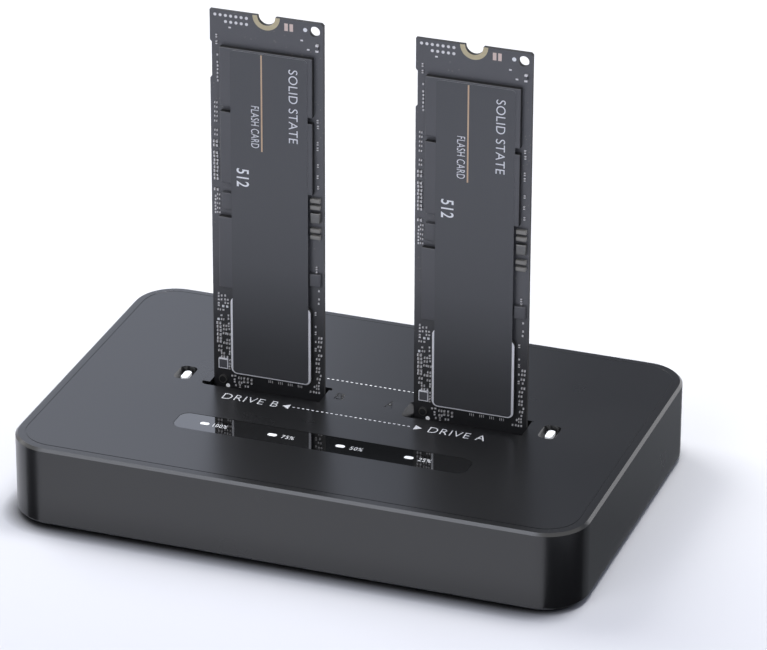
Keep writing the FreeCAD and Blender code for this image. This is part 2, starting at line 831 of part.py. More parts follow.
lead_pitch = 1.27
lead_length = 0.9
lead_width = 0.4
chip_edge = 0.15

coil_x = board_half_length - power_coil_inset
regulator_y = board_half_depth - regulator_rear_gap - regulator_chip_size / 2
first_coil_y = regulator_y - (regulator_chip_size + power_coil_size) / 2 - regulator_coil_gap
bulk_capacitor_x = -board_half_length + bulk_capacitor_inset


def chip(x, y, length, width, height):
    solid = centred_block(x, y, length, width, board_top_z, board_top_z + height)
    return solid.makeChamfer(chip_edge, edges_at(solid, board_top_z + height))


def bridge_chips():
    return group(chip(x, bridge_chip_y, bridge_chip_size, bridge_chip_size, bridge_chip_height)
                 for x in bay_xs.values())


def clone_chip():
    return chip(clone_chip_x, clone_chip_y, clone_chip_size, clone_chip_size, clone_chip_height)


def flash_chip():
    # A small-outline chip with four gull-wing leads along each side.
    body = chip(clone_chip_x, flash_chip_y, flash_chip_length, flash_chip_width, flash_chip_height)
    for i in range(4):
        x = clone_chip_x + lead_pitch * (i - 1.5)
        body = body.fuse(centred_block(x, flash_chip_y, lead_width, flash_chip_width + 2 * lead_length,
                                       board_top_z, board_top_z + lead_width / 2))
    return body


def crystals():
    return group(chip(x + side * crystal_offset, bridge_chip_y, crystal_width, crystal_length, crystal_height)
                 for x, side in ((bay_xs["a"], 1), (bay_xs["b"], -1)))


def power_coil(y):
    solid = centred_block(coil_x, y, power_coil_size, power_coil_size,
                          board_top_z, board_top_z + power_coil_height)
    return solid.makeChamfer(power_coil_corner, upright_edges(solid))


def power_coils():
    pitch = power_coil_size + power_coil_spacing
    return group([power_coil(first_coil_y), power_coil(first_coil_y - pitch)])


def regulator_chip():
    return chip(coil_x, regulator_y, regulator_chip_size, regulator_chip_size, regulator_chip_height)


def bulk_capacitor(x, y):
    base = centred_block(x, y, 2 * bulk_capacitor_radius, 2 * bulk_capacitor_radius,
                         board_top_z, board_top_z + bulk_capacitor_base)
    can = post(x, y, bulk_capacitor_radius - chip_edge, board_top_z + bulk_capacitor_base,
               board_top_z + bulk_capacitor_height)
    return base.fuse(can)


def bulk_capacitors():
    return group(bulk_capacitor(bulk_capacitor_x, bulk_capacitor_y - i * bulk_capacitor_pitch)
                 for i in (0, 1))


def chip_capacitors():
    top = board_top_z + chip_capacitor_height
    solids = []
    for bay_x in bay_xs.values():
        for i in range(chip_capacitors_per_bay):
            x = bay_x + chip_capacitor_pitch * (i - (chip_capacitors_per_bay - 1) / 2)
            solids.append(centred_block(x, chip_capacitor_row_y, chip_capacitor_width, chip_capacitor_length,
                                        board_top_z, top))
    return group(solids)


# Drive cards: each is drawn flat, with x across, y up the card and its parts facing +z,
# then stood up in its bay.

def stand_up(shape, bay_x):
    shape.rotate(Vector(0, 0, 0), Vector(1, 0, 0), 90)
    shape.translate(Vector(bay_x - card_width / 2, card_front_y, card_bottom_z))
    return shape


def span_block(left, right, span, height, low=0.0):
    return block(left, right, span[0], span[1], low, low + height)


def card_outline():
    # Corners of the board from the lower left, with the connector tongue downwards.
    tongue_inset = (card_width - tongue_width) / 2
    corners = [
        (tongue_inset, 0),
        (card_width - tongue_inset, 0),
        (card_width - tongue_inset, tongue_height),
        (card_width, tongue_height),
        (card_width, card_length - card_corner_cut),
        (card_width - card_corner_cut, card_length),
        (0, card_length),
        (0, edge_relief_high + edge_relief),
        (edge_relief, edge_relief_high),
        (edge_relief, edge_relief_low + edge_relief),
        (0, edge_relief_low),
        (0, tongue_height),
        (tongue_inset, tongue_height),
    ]
    points = [Vector(x, y, -card_thickness) for x, y in corners]
    return Part.Face(Part.makePolygon(points + points[:1])).extrude(Vector(0, 0, card_thickness))


def card_board():
    board = card_outline()
    middle = card_width / 2
    hole_x, hole_y = card_width - tool_hole_inset, card_length - tool_hole_inset
    cuts = [
        post(middle, card_length, mount_notch_radius, -card_thickness, 0),
        post(hole_x, hole_y, tool_hole_radius, -card_thickness, 0),
    ]
    for key_x in (key_b_x, key_m_x):
        cuts.append(pill(middle + key_x, 0, key_width, 2 * key_depth, -card_thickness, 0))
    return board.cut(cuts)


def card_mount_ring():
    # Plating round the mounting notch, on the front and the back of the board.
    middle = card_width / 2
    rings = []
    for low in (0, -card_thickness - foil):
        ring = post(middle, card_length, mount_ring_radius, low, low + foil)
        ring = ring.cut(post(middle, card_length, mount_notch_radius, low, low + foil))
        above = block(0, card_width, card_length, card_length + mount_ring_radius, low, low + foil)
        rings.append(ring.cut(above))
    return group(rings)


def card_fingers():
    count = int((tongue_width - 2 * finger_inset) / finger_pitch)
    middle = card_width / 2
    fingers = []
    for i in range(count):
        x = middle + finger_pitch * (i - (count - 1) / 2)
        if min(abs(x - middle - key_b_x), abs(x - middle - key_m_x)) < (key_width + finger_width) / 2:
            continue
        for low in (0, -card_thickness - foil):
            fingers.append(block(x - finger_width / 2, x + finger_width / 2,
                                 finger_inset, finger_inset + finger_height, low, low + foil))
    return group(fingers)


def package(left, right, span, height):
    solid = span_block(left, right, span, height)
    return solid.makeChamfer(package_bevel, edges_at(solid, height))


def card_memory():
    return group(package(memory_left, memory_left + memory_width, span, package_height)
                 for span in (lower_memory_span, upper_memory_span))


def card_buffer():
    return package(buffer_left, buffer_right, buffer_span, package_height)


def card_controller():
    low, high = controller_span
    solid = rounded_block(controller_left + controller_width / 2, (low + high) / 2,
                          controller_width, high - low, controller_corner, 0, package_height)
    return solid.makeChamfer(package_bevel, edges_at(solid, package_height))


def card_label():
    left = memory_left + label_inset_left
    right = memory_left + memory_width - label_inset_right
    low = controller_span[0] + label_inset_low
    high = upper_memory_span[1] - label_inset_high
    return rounded_block((left + right) / 2, (low + high) / 2, right - left, high - low, label_corner,
                         package_height, package_height + label_thickness)


def column_spans(wanted):
    # The low and high edges of one kind of part in the column along the card's right edge.
    lengths = {"capacitor": capacitor_length, "inductor": inductor_length, "regulator": regulator_length}
    spans = []
    high = lower_memory_span[0]
    for kind, gap in column_parts:
        high -= gap
        low = high - lengths[kind]
        if kind == wanted:
            spans.append((low, high))
        high = low
    return spans


def card_capacitors():
    right = card_width - column_inset
    return group(span_block(right - capacitor_width, right, span, capacitor_height)
                 for span in column_spans("capacitor"))


def card_inductor():
    right = card_width - column_inset
    return package(right - inductor_width, right, column_spans("inductor")[0], inductor_height)


def card_small_chips():
    right = card_width - column_inset
    sensor_right = controller_left - sensor_gap
    sensor_low = controller_span[0] + sensor_rise
    return group([
        package(right - regulator_width, right, column_spans("regulator")[0], regulator_height),
        package(sensor_right - sensor_width, sensor_right, (sensor_low, sensor_low + sensor_length),
                sensor_height),
        package(level_shifter_left, level_shifter_left + level_shifter_width, level_shifter_span,
                regulator_height),
    ])


def build_dock():
    export("top_cover", top_cover())
    export("base_plate", base_plate())
    export("rubber_feet", group(rubber_foot(sx, sy) for sx, sy in four_ways))
    export("main_board", main_board())
    export("board_screws", group(board_screw(sx, sy) for sx, sy in screw_corners))
    for side, x in bay_xs.items():
        export("card_socket_" + side, card_socket(x))
        export("socket_contacts_" + side, socket_contacts(x))
    export("progress_lens", progress_lens())
    export("progress_light_pipes", progress_light_pipes())
    export("progress_leds", group(led(x, strip_y, led_length, led_width) for x in led_xs))
    export("light_shield", light_shield())
    for side, x in status_xs.items():
        export("status_light_" + side, status_light(x))
    export("status_leds", group(led(x, status_y, led_width, led_length) for x in status_xs.values()))
    export("usb_c_shell", usb_c_shell())
    export("usb_c_tongue", usb_c_tongue())
    export("dc_jack", dc_jack())
    export("dc_jack_pin", dc_jack_pin())
    export("power_switch_case", power_switch_case())
    export("clone_switch_body", clone_switch_body())
    export("bridge_chips", bridge_chips())
    export("clone_chip", clone_chip())
    export("flash_chip", flash_chip())
    export("crystals", crystals())
    export("power_coils", power_coils())
    export("regulator_chip", regulator_chip())
    export("bulk_capacitors", bulk_capacitors())
    export("chip_capacitors", chip_capacitors())


def build_controls():
    export("power_switch_slider", power_switch_slider())
    export("clone_button_cap", clone_button_cap())
    export("clone_switch_plunger", clone_switch_plunger())


def build_drive(side, bay_x):
    makers = {
        "board": card_board,
        "mount_ring": card_mount_ring,
        "fingers": card_fingers,
        "memory": card_memory,
        "buffer": card_buffer,
        "controller": card_controller,
        "label": card_label,
        "capacitors": card_capacitors,
        "inductor": card_inductor,
        "small_chips": card_small_chips,
    }
    for name, maker in makers.items():
        export("drive_" + side + "_" + name, stand_up(maker(), bay_x))


os.makedirs("parts", exist_ok=True)
build_dock()
build_controls()
for side, bay_x in bay_xs.items():
    build_drive(side, bay_x)
print(len(pieces), "nodes")
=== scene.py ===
import json
import math
import random
import bpy
from mathutils import Matrix, Vector

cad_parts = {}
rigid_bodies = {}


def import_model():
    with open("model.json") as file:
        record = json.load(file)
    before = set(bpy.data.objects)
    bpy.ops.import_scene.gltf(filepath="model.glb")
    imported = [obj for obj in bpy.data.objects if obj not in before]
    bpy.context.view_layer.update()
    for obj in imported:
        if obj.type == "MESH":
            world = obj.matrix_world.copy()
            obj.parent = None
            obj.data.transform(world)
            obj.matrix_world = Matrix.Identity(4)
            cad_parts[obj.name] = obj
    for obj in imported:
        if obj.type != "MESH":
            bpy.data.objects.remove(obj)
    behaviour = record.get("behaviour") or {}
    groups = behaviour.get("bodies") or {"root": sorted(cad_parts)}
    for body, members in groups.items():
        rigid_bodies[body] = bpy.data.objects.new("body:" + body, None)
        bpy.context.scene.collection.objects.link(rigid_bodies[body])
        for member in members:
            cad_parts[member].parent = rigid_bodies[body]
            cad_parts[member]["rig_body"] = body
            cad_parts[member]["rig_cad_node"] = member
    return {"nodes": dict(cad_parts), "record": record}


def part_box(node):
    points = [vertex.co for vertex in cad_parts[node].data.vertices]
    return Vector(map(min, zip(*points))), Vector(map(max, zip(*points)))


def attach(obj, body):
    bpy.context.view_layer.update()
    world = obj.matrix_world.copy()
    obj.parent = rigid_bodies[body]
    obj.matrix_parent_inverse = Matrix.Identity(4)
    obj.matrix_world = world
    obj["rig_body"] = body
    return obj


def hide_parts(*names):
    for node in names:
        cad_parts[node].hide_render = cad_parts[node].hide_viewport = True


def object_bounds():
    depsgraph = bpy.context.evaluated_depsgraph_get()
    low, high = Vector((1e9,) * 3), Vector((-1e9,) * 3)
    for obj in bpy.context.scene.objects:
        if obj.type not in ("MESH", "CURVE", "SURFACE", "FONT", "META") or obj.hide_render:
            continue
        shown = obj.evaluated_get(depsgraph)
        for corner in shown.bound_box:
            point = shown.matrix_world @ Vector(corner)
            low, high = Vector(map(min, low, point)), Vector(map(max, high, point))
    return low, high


# Two-bay card duplicator with both cards standing in their sockets.
# Everything is in metres, in the frame's own axes: X along the dock, Y to the rear, Z up.

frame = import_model()
cadLow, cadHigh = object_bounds()
mm = 0.001
print("frame loaded:", len(frame["nodes"]), "nodes")


# Small helpers for working as by hand

def clearSelection():
    if bpy.context.object and bpy.context.object.mode != "OBJECT":
        bpy.ops.object.mode_set(mode="OBJECT")
    bpy.ops.object.select_all(action="DESELECT")


def pick(piece):
    clearSelection()
    piece.select_set(True)
    bpy.context.view_layer.objects.active = piece
    return piece


def startShape(operator, **values):  # a new shape, with nothing else selected
    clearSelection()
    operator(**values)
    return bpy.context.object


def settle(piece):  # the place goes into the mesh
    pick(piece)
    bpy.ops.object.transform_apply(location=True, rotation=True, scale=True)
    return piece


def joinPieces(parts, name):
    clearSelection()
    for part in parts:
        part.select_set(True)
    bpy.context.view_layer.objects.active = parts[0]
    if len(parts) > 1:
        bpy.ops.object.join()
    joined = bpy.context.object
    joined.name = name
    return joined


def applyModifier(piece, kind, **values):
    pick(piece)
    modifier = piece.modifiers.new(kind, kind)
    for key, value in values.items():
        setattr(modifier, key, value)
    bpy.ops.object.modifier_apply(modifier=modifier.name)


def cutAway(piece, cutter):
    applyModifier(piece, "BOOLEAN", operation="DIFFERENCE", object=cutter, solver="EXACT")
    bpy.data.objects.remove(cutter)


def editWhole(piece, operator, **values):  # an edit mode operator on all of a piece
    pick(piece)
    bpy.ops.object.mode_set(mode="EDIT")
    bpy.ops.mesh.select_all(action="SELECT")
    operator(**values)
    bpy.ops.object.mode_set(mode="OBJECT")


def drawOut(piece, move):  # a flat piece becomes a solid
    editWhole(piece, bpy.ops.mesh.extrude_region_move, TRANSFORM_OT_translate={"value": move})
    editWhole(piece, bpy.ops.mesh.normals_make_consistent, inside=False)
    return piece


def easeEdges(piece, width):
    editWhole(piece, bpy.ops.mesh.bevel, offset=width, segments=1, affect="EDGES", clamp_overlap=True)


def easeSharpEdges(piece, width, angle):
    applyModifier(piece, "BEVEL", width=width, segments=2, limit_method="ANGLE",
                  angle_limit=math.radians(angle), use_clamp_overlap=True)


def selectWhere(piece, kind, test):  # leaves the piece in edit mode with the wanted faces or edges selected
    pick(piece)
    bpy.ops.object.mode_set(mode="EDIT")
    bpy.ops.mesh.select_mode(type=kind)
    bpy.ops.mesh.select_all(action="DESELECT")
    bpy.ops.object.mode_set(mode="OBJECT")
    for part in piece.data.polygons if kind == "FACE" else piece.data.edges:
        part.select = test(part)
    bpy.ops.object.mode_set(mode="EDIT")


def edgeRise(piece, edge):
    first, second = (piece.data.vertices[i].co.z for i in edge.vertices)
    return abs(first - second)


turned = {"along": 0.9, "aside": 0.5}  # least and most of a normal along an axis, for a face to look that way


def placeCorners(plane, corners):  # a plane's corners, in turn round it
    order = sorted(plane.data.vertices, key=lambda point: math.atan2(point.co.y, point.co.x))
    for point, corner in zip(order, corners):
        point.co = corner


def smooth(piece, angle):
    pick(piece)
    bpy.ops.object.shade_smooth_by_angle(angle=math.radians(angle))


def copyPiece(piece, name):
    twin = piece.copy()
    twin.data = piece.data.copy()
    twin.name = name
    bpy.context.scene.collection.objects.link(twin)
    return twin


def freeCopy(node, name):  # a merged copy of a node's own shape, to be refined
    mergeSet = {"doubles": 0.002 * mm, "flat": 0.5}  # points this near are one, faces this level are one
    piece = copyPiece(frame["nodes"][node], name)
    piece.parent = None
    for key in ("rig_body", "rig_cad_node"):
        if key in piece:
            del piece[key]
    pick(piece)
    bpy.ops.object.mode_set(mode="EDIT")
    bpy.ops.mesh.select_all(action="SELECT")
    bpy.ops.mesh.remove_doubles(threshold=mergeSet["doubles"])
    bpy.ops.mesh.dissolve_limited(angle_limit=math.radians(mergeSet["flat"]))
    bpy.ops.object.mode_set(mode="OBJECT")
    return piece


def setIn(piece, body, material=None):
    if material:
        piece.data.materials.clear()
        piece.data.materials.append(material)
    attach(piece, body)
    return piece


# Node groups: grain, lines and speckle that several finishes share

patternOutputs = {"Normal": "NodeSocketVector", "Roughness": "NodeSocketFloat", "Mask": "NodeSocketFloat"}


def startGroup(name, inputs, outputs):
    group = bpy.data.node_groups.new(name, "ShaderNodeTree")
    for label, value in inputs.items():
        socket = group.interface.new_socket(label, in_out="INPUT", socket_type="NodeSocketFloat")
        socket.default_value = value
    for label, kind in outputs.items():
        group.interface.new_socket(label, in_out="OUTPUT", socket_type=kind)
    return group, group.nodes.new("NodeGroupInput"), group.nodes.new("NodeGroupOutput")


def addNode(tree, kind, **values):  # in_Name or in_1 sets an input, by its name or its number
    node = tree.nodes.new(kind)
    for key, value in values.items():
        if key.startswith("in_"):
            label = key[3:].replace("_", " ")
            node.inputs[int(label) if label.isdigit() else label].default_value = value
        else:
            setattr(node, key, value)
    return node


def wire(tree, *links):  # each link: a node and its output, then a node and its input
    for source, given, target, taken in links:
        tree.links.new(source.outputs[given], target.inputs[taken])


def makeMouldGrain():  # fine spark-eroded grain and slow patches of gloss
    group, given, made = startGroup(
        "mouldGrain", {"Scale": 2500.0, "Depth": 0.1, "Roughness": 0.4, "Patch": 0.04}, patternOutputs)
    place = addNode(group, "ShaderNodeTexCoord")
    fine = addNode(group, "ShaderNodeTexNoise", in_Detail=3.0, in_Roughness=0.6)
    slow = addNode(group, "ShaderNodeTexNoise", in_Scale=38.0, in_Detail=4.0, in_Roughness=0.55)
    bump = addNode(group, "ShaderNodeBump", in_Distance=0.00002)
    spread = addNode(group, "ShaderNodeMath", operation="SUBTRACT", in_1=0.5)  # about the noise's middle
    scaled = addNode(group, "ShaderNodeMath", operation="MULTIPLY_ADD")
    wire(group,
         (place, "Object", fine, "Vector"), (place, "Object", slow, "Vector"), (given, "Scale", fine, "Scale"),
         (given, "Depth", bump, "Strength"), (fine, "Fac", bump, "Height"), (slow, "Fac", spread, 0),
         (spread, 0, scaled, 0), (given, "Patch", scaled, 1), (given, "Roughness", scaled, 2),
         (bump, "Normal", made, "Normal"), (scaled, 0, made, "Roughness"), (slow, "Fac", made, "Mask"))
    return group


def makeDrawnLines():  # long fine lines, as on rolled or drawn metal
    group, given, made = startGroup(
        "drawnLines", {"Across": 3000.0, "Along": 60.0, "Depth": 0.15, "Roughness": 0.3, "Patch": 0.15},
        patternOutputs)
    place = addNode(group, "ShaderNodeTexCoord")
    stretch = addNode(group, "ShaderNodeCombineXYZ")
    lay = addNode(group, "ShaderNodeVectorMath", operation="MULTIPLY")
    lines = addNode(group, "ShaderNodeTexNoise", in_Scale=1.0, in_Detail=4.0, in_Roughness=0.7)
    bump = addNode(group, "ShaderNodeBump", in_Distance=0.00001)
    rough = addNode(group, "ShaderNodeMath", operation="MULTIPLY_ADD")
    wire(group,
         (given, "Along", stretch, "X"), (given, "Across", stretch, "Y"), (given, "Across", stretch, "Z"),
         (place, "Object", lay, 0), (stretch, 0, lay, 1), (lay, 0, lines, "Vector"),
         (given, "Depth", bump, "Strength"), (lines, "Fac", bump, "Height"),
         (lines, "Fac", rough, 0), (given, "Patch", rough, 1), (given, "Roughness", rough, 2),
         (bump, "Normal", made, "Normal"), (rough, 0, made, "Roughness"), (lines, "Fac", made, "Mask"))
    return group


def makeSpeckle():  # sparse pale specks: dust on plastic, filler in resin and rubber
    group, given, made = startGroup(
        "speckle", {"Scale": 900.0, "Size": 0.12, "Amount": 0.5}, {"Mask": "NodeSocketFloat"})
    place = addNode(group, "ShaderNodeTexCoord")
    dots = addNode(group, "ShaderNodeTexVoronoi")
    clumps = addNode(group, "ShaderNodeTexNoise", in_Scale=90.0, in_Detail=2.0)
    near = addNode(group, "ShaderNodeMath", operation="LESS_THAN")
    some = addNode(group, "ShaderNodeMath", operation="MULTIPLY")
    amount = addNode(group, "ShaderNodeMath", operation="MULTIPLY")
    wire(group,
         (place, "Object", dots, "Vector"), (place, "Object", clumps, "Vector"), (given, "Scale", dots, "Scale"),
         (dots, "Distance", near, 0), (given, "Size", near, 1), (near, 0, some, 0), (clumps, "Fac", some, 1),
         (some, 0, amount, 0), (given, "Amount", amount, 1), (amount, 0, made, "Mask"))
    return group


mouldGrain = makeMouldGrain()
drawnLines = makeDrawnLines()
speckle = makeSpeckle()


# Finishes

def placeGroup(tree, group, **values):
    node = tree.nodes.new("ShaderNodeGroup")
    node.node_tree = group
    for label, value in values.items():
        node.inputs[label].default_value = value
    return node


def startFinish(name, **sockets):
    material = bpy.data.materials.new(name)
    material.use_nodes = True
    shader = material.node_tree.nodes["Principled BSDF"]
    for label, value in sockets.items():
        shader.inputs[label.replace("_", " ")].default_value = value
    return material, material.node_tree, shader


def mixColors(tree, mask, first, second):  # each is a colour or another node's output
    mix = addNode(tree, "ShaderNodeMix", data_type="RGBA")
    tree.links.new(mask, mix.inputs["Factor"])
    for label, color in (("A", first), ("B", second)):
        if isinstance(color, tuple):
            mix.inputs[label].default_value = (*color, 1)
        else:
            tree.links.new(color, mix.inputs[label])
    return mix.outputs["Result"]


def paintedFootShade(tree, color, shade):  # painted shade: a tone that darkens towards the lower end
    dark, low, high = shade
    place = addNode(tree, "ShaderNodeTexCoord")
    height = addNode(tree, "ShaderNodeSeparateXYZ")
    fade = addNode(tree, "ShaderNodeMapRange", in_From_Min=low, in_From_Max=high, in_To_Min=dark)
    shaded = addNode(tree, "ShaderNodeVectorMath", operation="SCALE")
    tree.links.new(color, shaded.inputs[0])
    wire(tree, (place, "Object", height, 0), (height, "Z", fade, "Value"), (fade, 0, shaded, "Scale"))
    return shaded.outputs[0]


def dress(tree, shader, color, pattern):  # the colour, with a pattern's gloss and relief
    tree.links.new(color, shader.inputs["Base Color"])
    wire(tree, (pattern, "Roughness", shader, "Roughness"), (pattern, "Normal", shader, "Normal"))


def mouldedFinish(name, look):
    # Plastic, rubber, resin, film or ink: grained, with slow patches of tone and some dust or filler.
    material, tree, shader = startFinish(name, **look.get("sockets", {}))
    grain = placeGroup(tree, mouldGrain, Scale=look["grain"], Depth=look["depth"],
                       Roughness=look["roughness"], Patch=look["patch"])
    color = mixColors(tree, grain.outputs["Mask"], look["color"], look["second"])
    if "dust" in look:
        dust = placeGroup(tree, speckle, Scale=dustSet["dots"], Size=dustSet["size"], Amount=look["dust"])
        color = mixColors(tree, dust.outputs["Mask"], color, dustSet["color"])
    if "Emission_Strength" in look.get("sockets", {}):
        tree.links.new(color, shader.inputs["Emission Color"])
    # painted shade: the colour darkens towards the foot (the card label)
    if "shade" in look:
        color = paintedFootShade(tree, color, look["shade"])
    dress(tree, shader, color, grain)
    return material


def metalFinish(name, look):
    # Rolled, drawn or plated metal with fine lines and a varied tarnish; dull tin is partly matt.
    material, tree, shader = startFinish(name, Metallic=look.get("metal", 1.0))
    lines = placeGroup(tree, drawnLines, Across=look["across"], Along=look["along"], Depth=look["depth"],
                       Roughness=look["roughness"], Patch=look["patch"])
    dress(tree, shader, mixColors(tree, lines.outputs["Mask"], look["color"], look["second"]), lines)
    return material


def boardFinish(name, look):
    # Solder mask over copper: broad pours, fine tracks and small vias show through as a change of tone.
    material, tree, shader = startFinish(name, IOR=1.5, Coat_Weight=0.2, Coat_Roughness=0.2)
    place = addNode(tree, "ShaderNodeTexCoord")
    pours = addNode(tree, "ShaderNodeTexVoronoi", distance="MANHATTAN", in_Scale=look["pour"])
    turn = addNode(tree, "ShaderNodeMapping", in_Rotation=look["turn"])
    tracks = addNode(tree, "ShaderNodeTexBrick", in_Scale=look["track"], in_Mortar_Size=0.06,
                     in_Color1=(1, 1, 1, 1), in_Color2=(0.7, 0.7, 0.7, 1), in_Mortar=(0, 0, 0, 1))
    vias = addNode(tree, "ShaderNodeTexVoronoi", in_Scale=look["via"])
    isVia = addNode(tree, "ShaderNodeMath", operation="LESS_THAN", in_1=look["viaSize"])
    some = addNode(tree, "ShaderNodeMath", operation="GREATER_THAN", in_1=0.62)  # pours that have vias
    both = addNode(tree, "ShaderNodeMath", operation="MULTIPLY")
    split = addNode(tree, "ShaderNodeSeparateColor")
    wire(tree,
         (place, "Object", pours, "Vector"), (place, "Object", turn, "Vector"), (turn, 0, tracks, "Vector"),
         (place, "Object", vias, "Vector"), (vias, "Distance", isVia, 0), (pours, "Color", split, 0),
         (split, 0, some, 0), (isVia, 0, both, 0), (some, 0, both, 1))
    color = mixColors(tree, split.outputs[1], look["color"], look["pourColor"])
    color = mixColors(tree, tracks.outputs["Color"], look["trackColor"], color)
    color = mixColors(tree, both.outputs[0], color, look["viaColor"])
    if "shade" in look:  # painted shade: darker towards the foot, for the shade and dark reflection of the cover there
        color = paintedFootShade(tree, color, look["shade"])
    bump = addNode(tree, "ShaderNodeBump", in_Strength=0.25, in_Distance=0.00002)
    grain = placeGroup(tree, mouldGrain, Scale=1500.0, Depth=0.15, Roughness=look["roughness"], Patch=0.08)
    dress(tree, shader, color, grain)
    wire(tree, (tracks, "Color", bump, "Height"), (grain, "Normal", bump, "Normal"),
         (bump, "Normal", shader, "Normal"))
    return material


dustSet = {"dots": 700.0, "size": 0.1, "color": (0.3, 0.3, 0.32)}
mouldedLooks = {
    "cover_plastic": dict(grain=2600.0, depth=0.05, roughness=0.28, patch=0.05, color=(0.0058, 0.0061, 0.0069),
                          second=(0.0070, 0.0073, 0.0082), sockets={"IOR": 1.66}),
    "base_plastic": dict(grain=1500.0, depth=0.35, roughness=0.5, patch=0.08, color=(0.016, 0.016, 0.017),
                         second=(0.021, 0.021, 0.022), dust=0.05),
    "foot_rubber": dict(grain=1100.0, depth=0.5, roughness=0.75, patch=0.08, color=(0.012, 0.012, 0.012),
                        second=(0.022, 0.022, 0.022), dust=0.2),
    "socket_plastic": dict(grain=2200.0, depth=0.25, roughness=0.42, patch=0.08, color=(0.012, 0.012, 0.013),
                           second=(0.017, 0.017, 0.018), dust=0.05),
    "control_plastic": dict(grain=1800.0, depth=0.25, roughness=0.38, patch=0.06, color=(0.035, 0.035, 0.038),
                            second=(0.045, 0.045, 0.048), dust=0.05),
    "chip_resin": dict(grain=2600.0, depth=0.3, roughness=0.45, patch=0.1, color=(0.092, 0.093, 0.100),
                       second=(0.104, 0.105, 0.112), dust=0.03),
    # painted shade: the dark sides of the packages, the boards and the shield
    "chip_side": dict(grain=2600.0, depth=0.3, roughness=0.6, patch=0.1, color=(0.008, 0.008, 0.009),
                      second=(0.012, 0.012, 0.013)),
    "small_body": dict(grain=1600.0, depth=0.2, roughness=0.4, patch=0.1, color=(0.20, 0.19, 0.18),
                       second=(0.27, 0.26, 0.245)),
    "capacitor_ceramic": dict(grain=1600.0, depth=0.2, roughness=0.35, patch=0.1, color=(0.24, 0.23, 0.205),
                              second=(0.28, 0.27, 0.245), dust=0.1),
    "led_body": dict(grain=1500.0, depth=0.1, roughness=0.3, patch=0.05, color=(0.75, 0.72, 0.5),
                     second=(0.85, 0.82, 0.7)),
    "strip_lens": dict(grain=260.0, depth=0.02, roughness=0.05, patch=0.03, color=(0.0012, 0.0013, 0.0015),
                       second=(0.0022, 0.0023, 0.0026),
                       sockets={"IOR": 1.66, "Coat_Weight": 1.0, "Coat_Roughness": 0.03}),
    "light_pipe": dict(grain=600.0, depth=0.05, roughness=0.3, patch=0.1, color=(0.86, 0.88, 0.9),
                       second=(0.95, 0.96, 0.97), sockets={"IOR": 1.49, "Emission_Strength": 0.25}),
    # The card label darkens towards its foot: painted shade where the cover shades its lower end.
    "card_label": dict(grain=3200.0, depth=0.08, roughness=0.42, patch=0.06, color=(0.079, 0.081, 0.087),
                       second=(0.088, 0.090, 0.096), shade=(0.60, 0.024, 0.042)),
}
inkLooks = {  # roughness and the two tones
    # the label film's cut sides, paler than its face: partly its own pale core, partly a painted highlight
    "film_edge": (0.5, (0.30, 0.30, 0.31), (0.38, 0.38, 0.39)),
    "white_ink": (0.45, (0.90, 0.91, 0.92), (0.95, 0.96, 0.97)),
    "label_ink": (0.45, (0.80, 0.81, 0.84), (0.86, 0.87, 0.90)),
    "bold_ink": (0.45, (0.90, 0.91, 0.93), (0.95, 0.96, 0.97)),
    "tan_ink": (0.4, (0.60, 0.42, 0.27), (0.68, 0.49, 0.32)),
}
for inkName, (inkRoughness, inkColor, inkSecond) in inkLooks.items():
    mouldedLooks[inkName] = dict(grain=3000.0, depth=0.1, roughness=inkRoughness, patch=0.1, color=inkColor,
                                 second=inkSecond)
metalLooks = {
    "gold_plating": dict(across=2500.0, along=300.0, depth=0.1, roughness=0.3, patch=0.2,
                         color=(0.44, 0.38, 0.24), second=(0.60, 0.54, 0.38)),
    "coil_metal": dict(across=1800.0, along=700.0, depth=0.3, roughness=0.38, patch=0.2,
                       color=(0.12, 0.12, 0.12), second=(0.24, 0.24, 0.235)),
    "screw_steel": dict(across=2500.0, along=200.0, depth=0.15, roughness=0.35, patch=0.2,
                        color=(0.08, 0.08, 0.085), second=(0.16, 0.16, 0.165)),
    "port_steel": dict(across=3500.0, along=90.0, depth=0.12, roughness=0.22, patch=0.15,
                       color=(0.55, 0.54, 0.52), second=(0.68, 0.67, 0.65)),
    "capacitor_can": dict(across=2500.0, along=120.0, depth=0.1, roughness=0.25, patch=0.15,
                          color=(0.70, 0.70, 0.71), second=(0.82, 0.82, 0.83)),
    "solder_tin": dict(across=2600.0, along=900.0, depth=0.3, roughness=0.55, patch=0.2, metal=0.5,
                       color=(0.66, 0.65, 0.66), second=(0.86, 0.85, 0.86)),
    "bare_pad": dict(across=2600.0, along=900.0, depth=0.3, roughness=0.5, patch=0.2,
                     color=(0.60, 0.50, 0.47), second=(0.74, 0.62, 0.58)),
    "controller_shield": dict(across=3800.0, along=70.0, depth=0.1, roughness=0.6, patch=0.1, metal=0.2,
                              color=(0.84, 0.84, 0.86), second=(0.92, 0.92, 0.94)),
}
boardLooks = {
    # The card board darkens towards its foot: painted shade.
    "card_board": dict(pour=150.0, track=900.0, turn=(1.5708, 0, 0), via=1100.0, viaSize=0.16, roughness=0.36,
                       color=(0.083, 0.084, 0.091), pourColor=(0.092, 0.093, 0.100),
                       trackColor=(0.103, 0.104, 0.111), viaColor=(0.15, 0.148, 0.14), shade=(0.22, 0.026, 0.042)),
    "dock_board": dict(pour=120.0, track=500.0, turn=(0, 0, 0), via=500.0, viaSize=0.16, roughness=0.35,
                       color=(0.006, 0.045, 0.018), pourColor=(0.010, 0.065, 0.028),
                       trackColor=(0.020, 0.10, 0.045), viaColor=(0.45, 0.36, 0.2)),
}

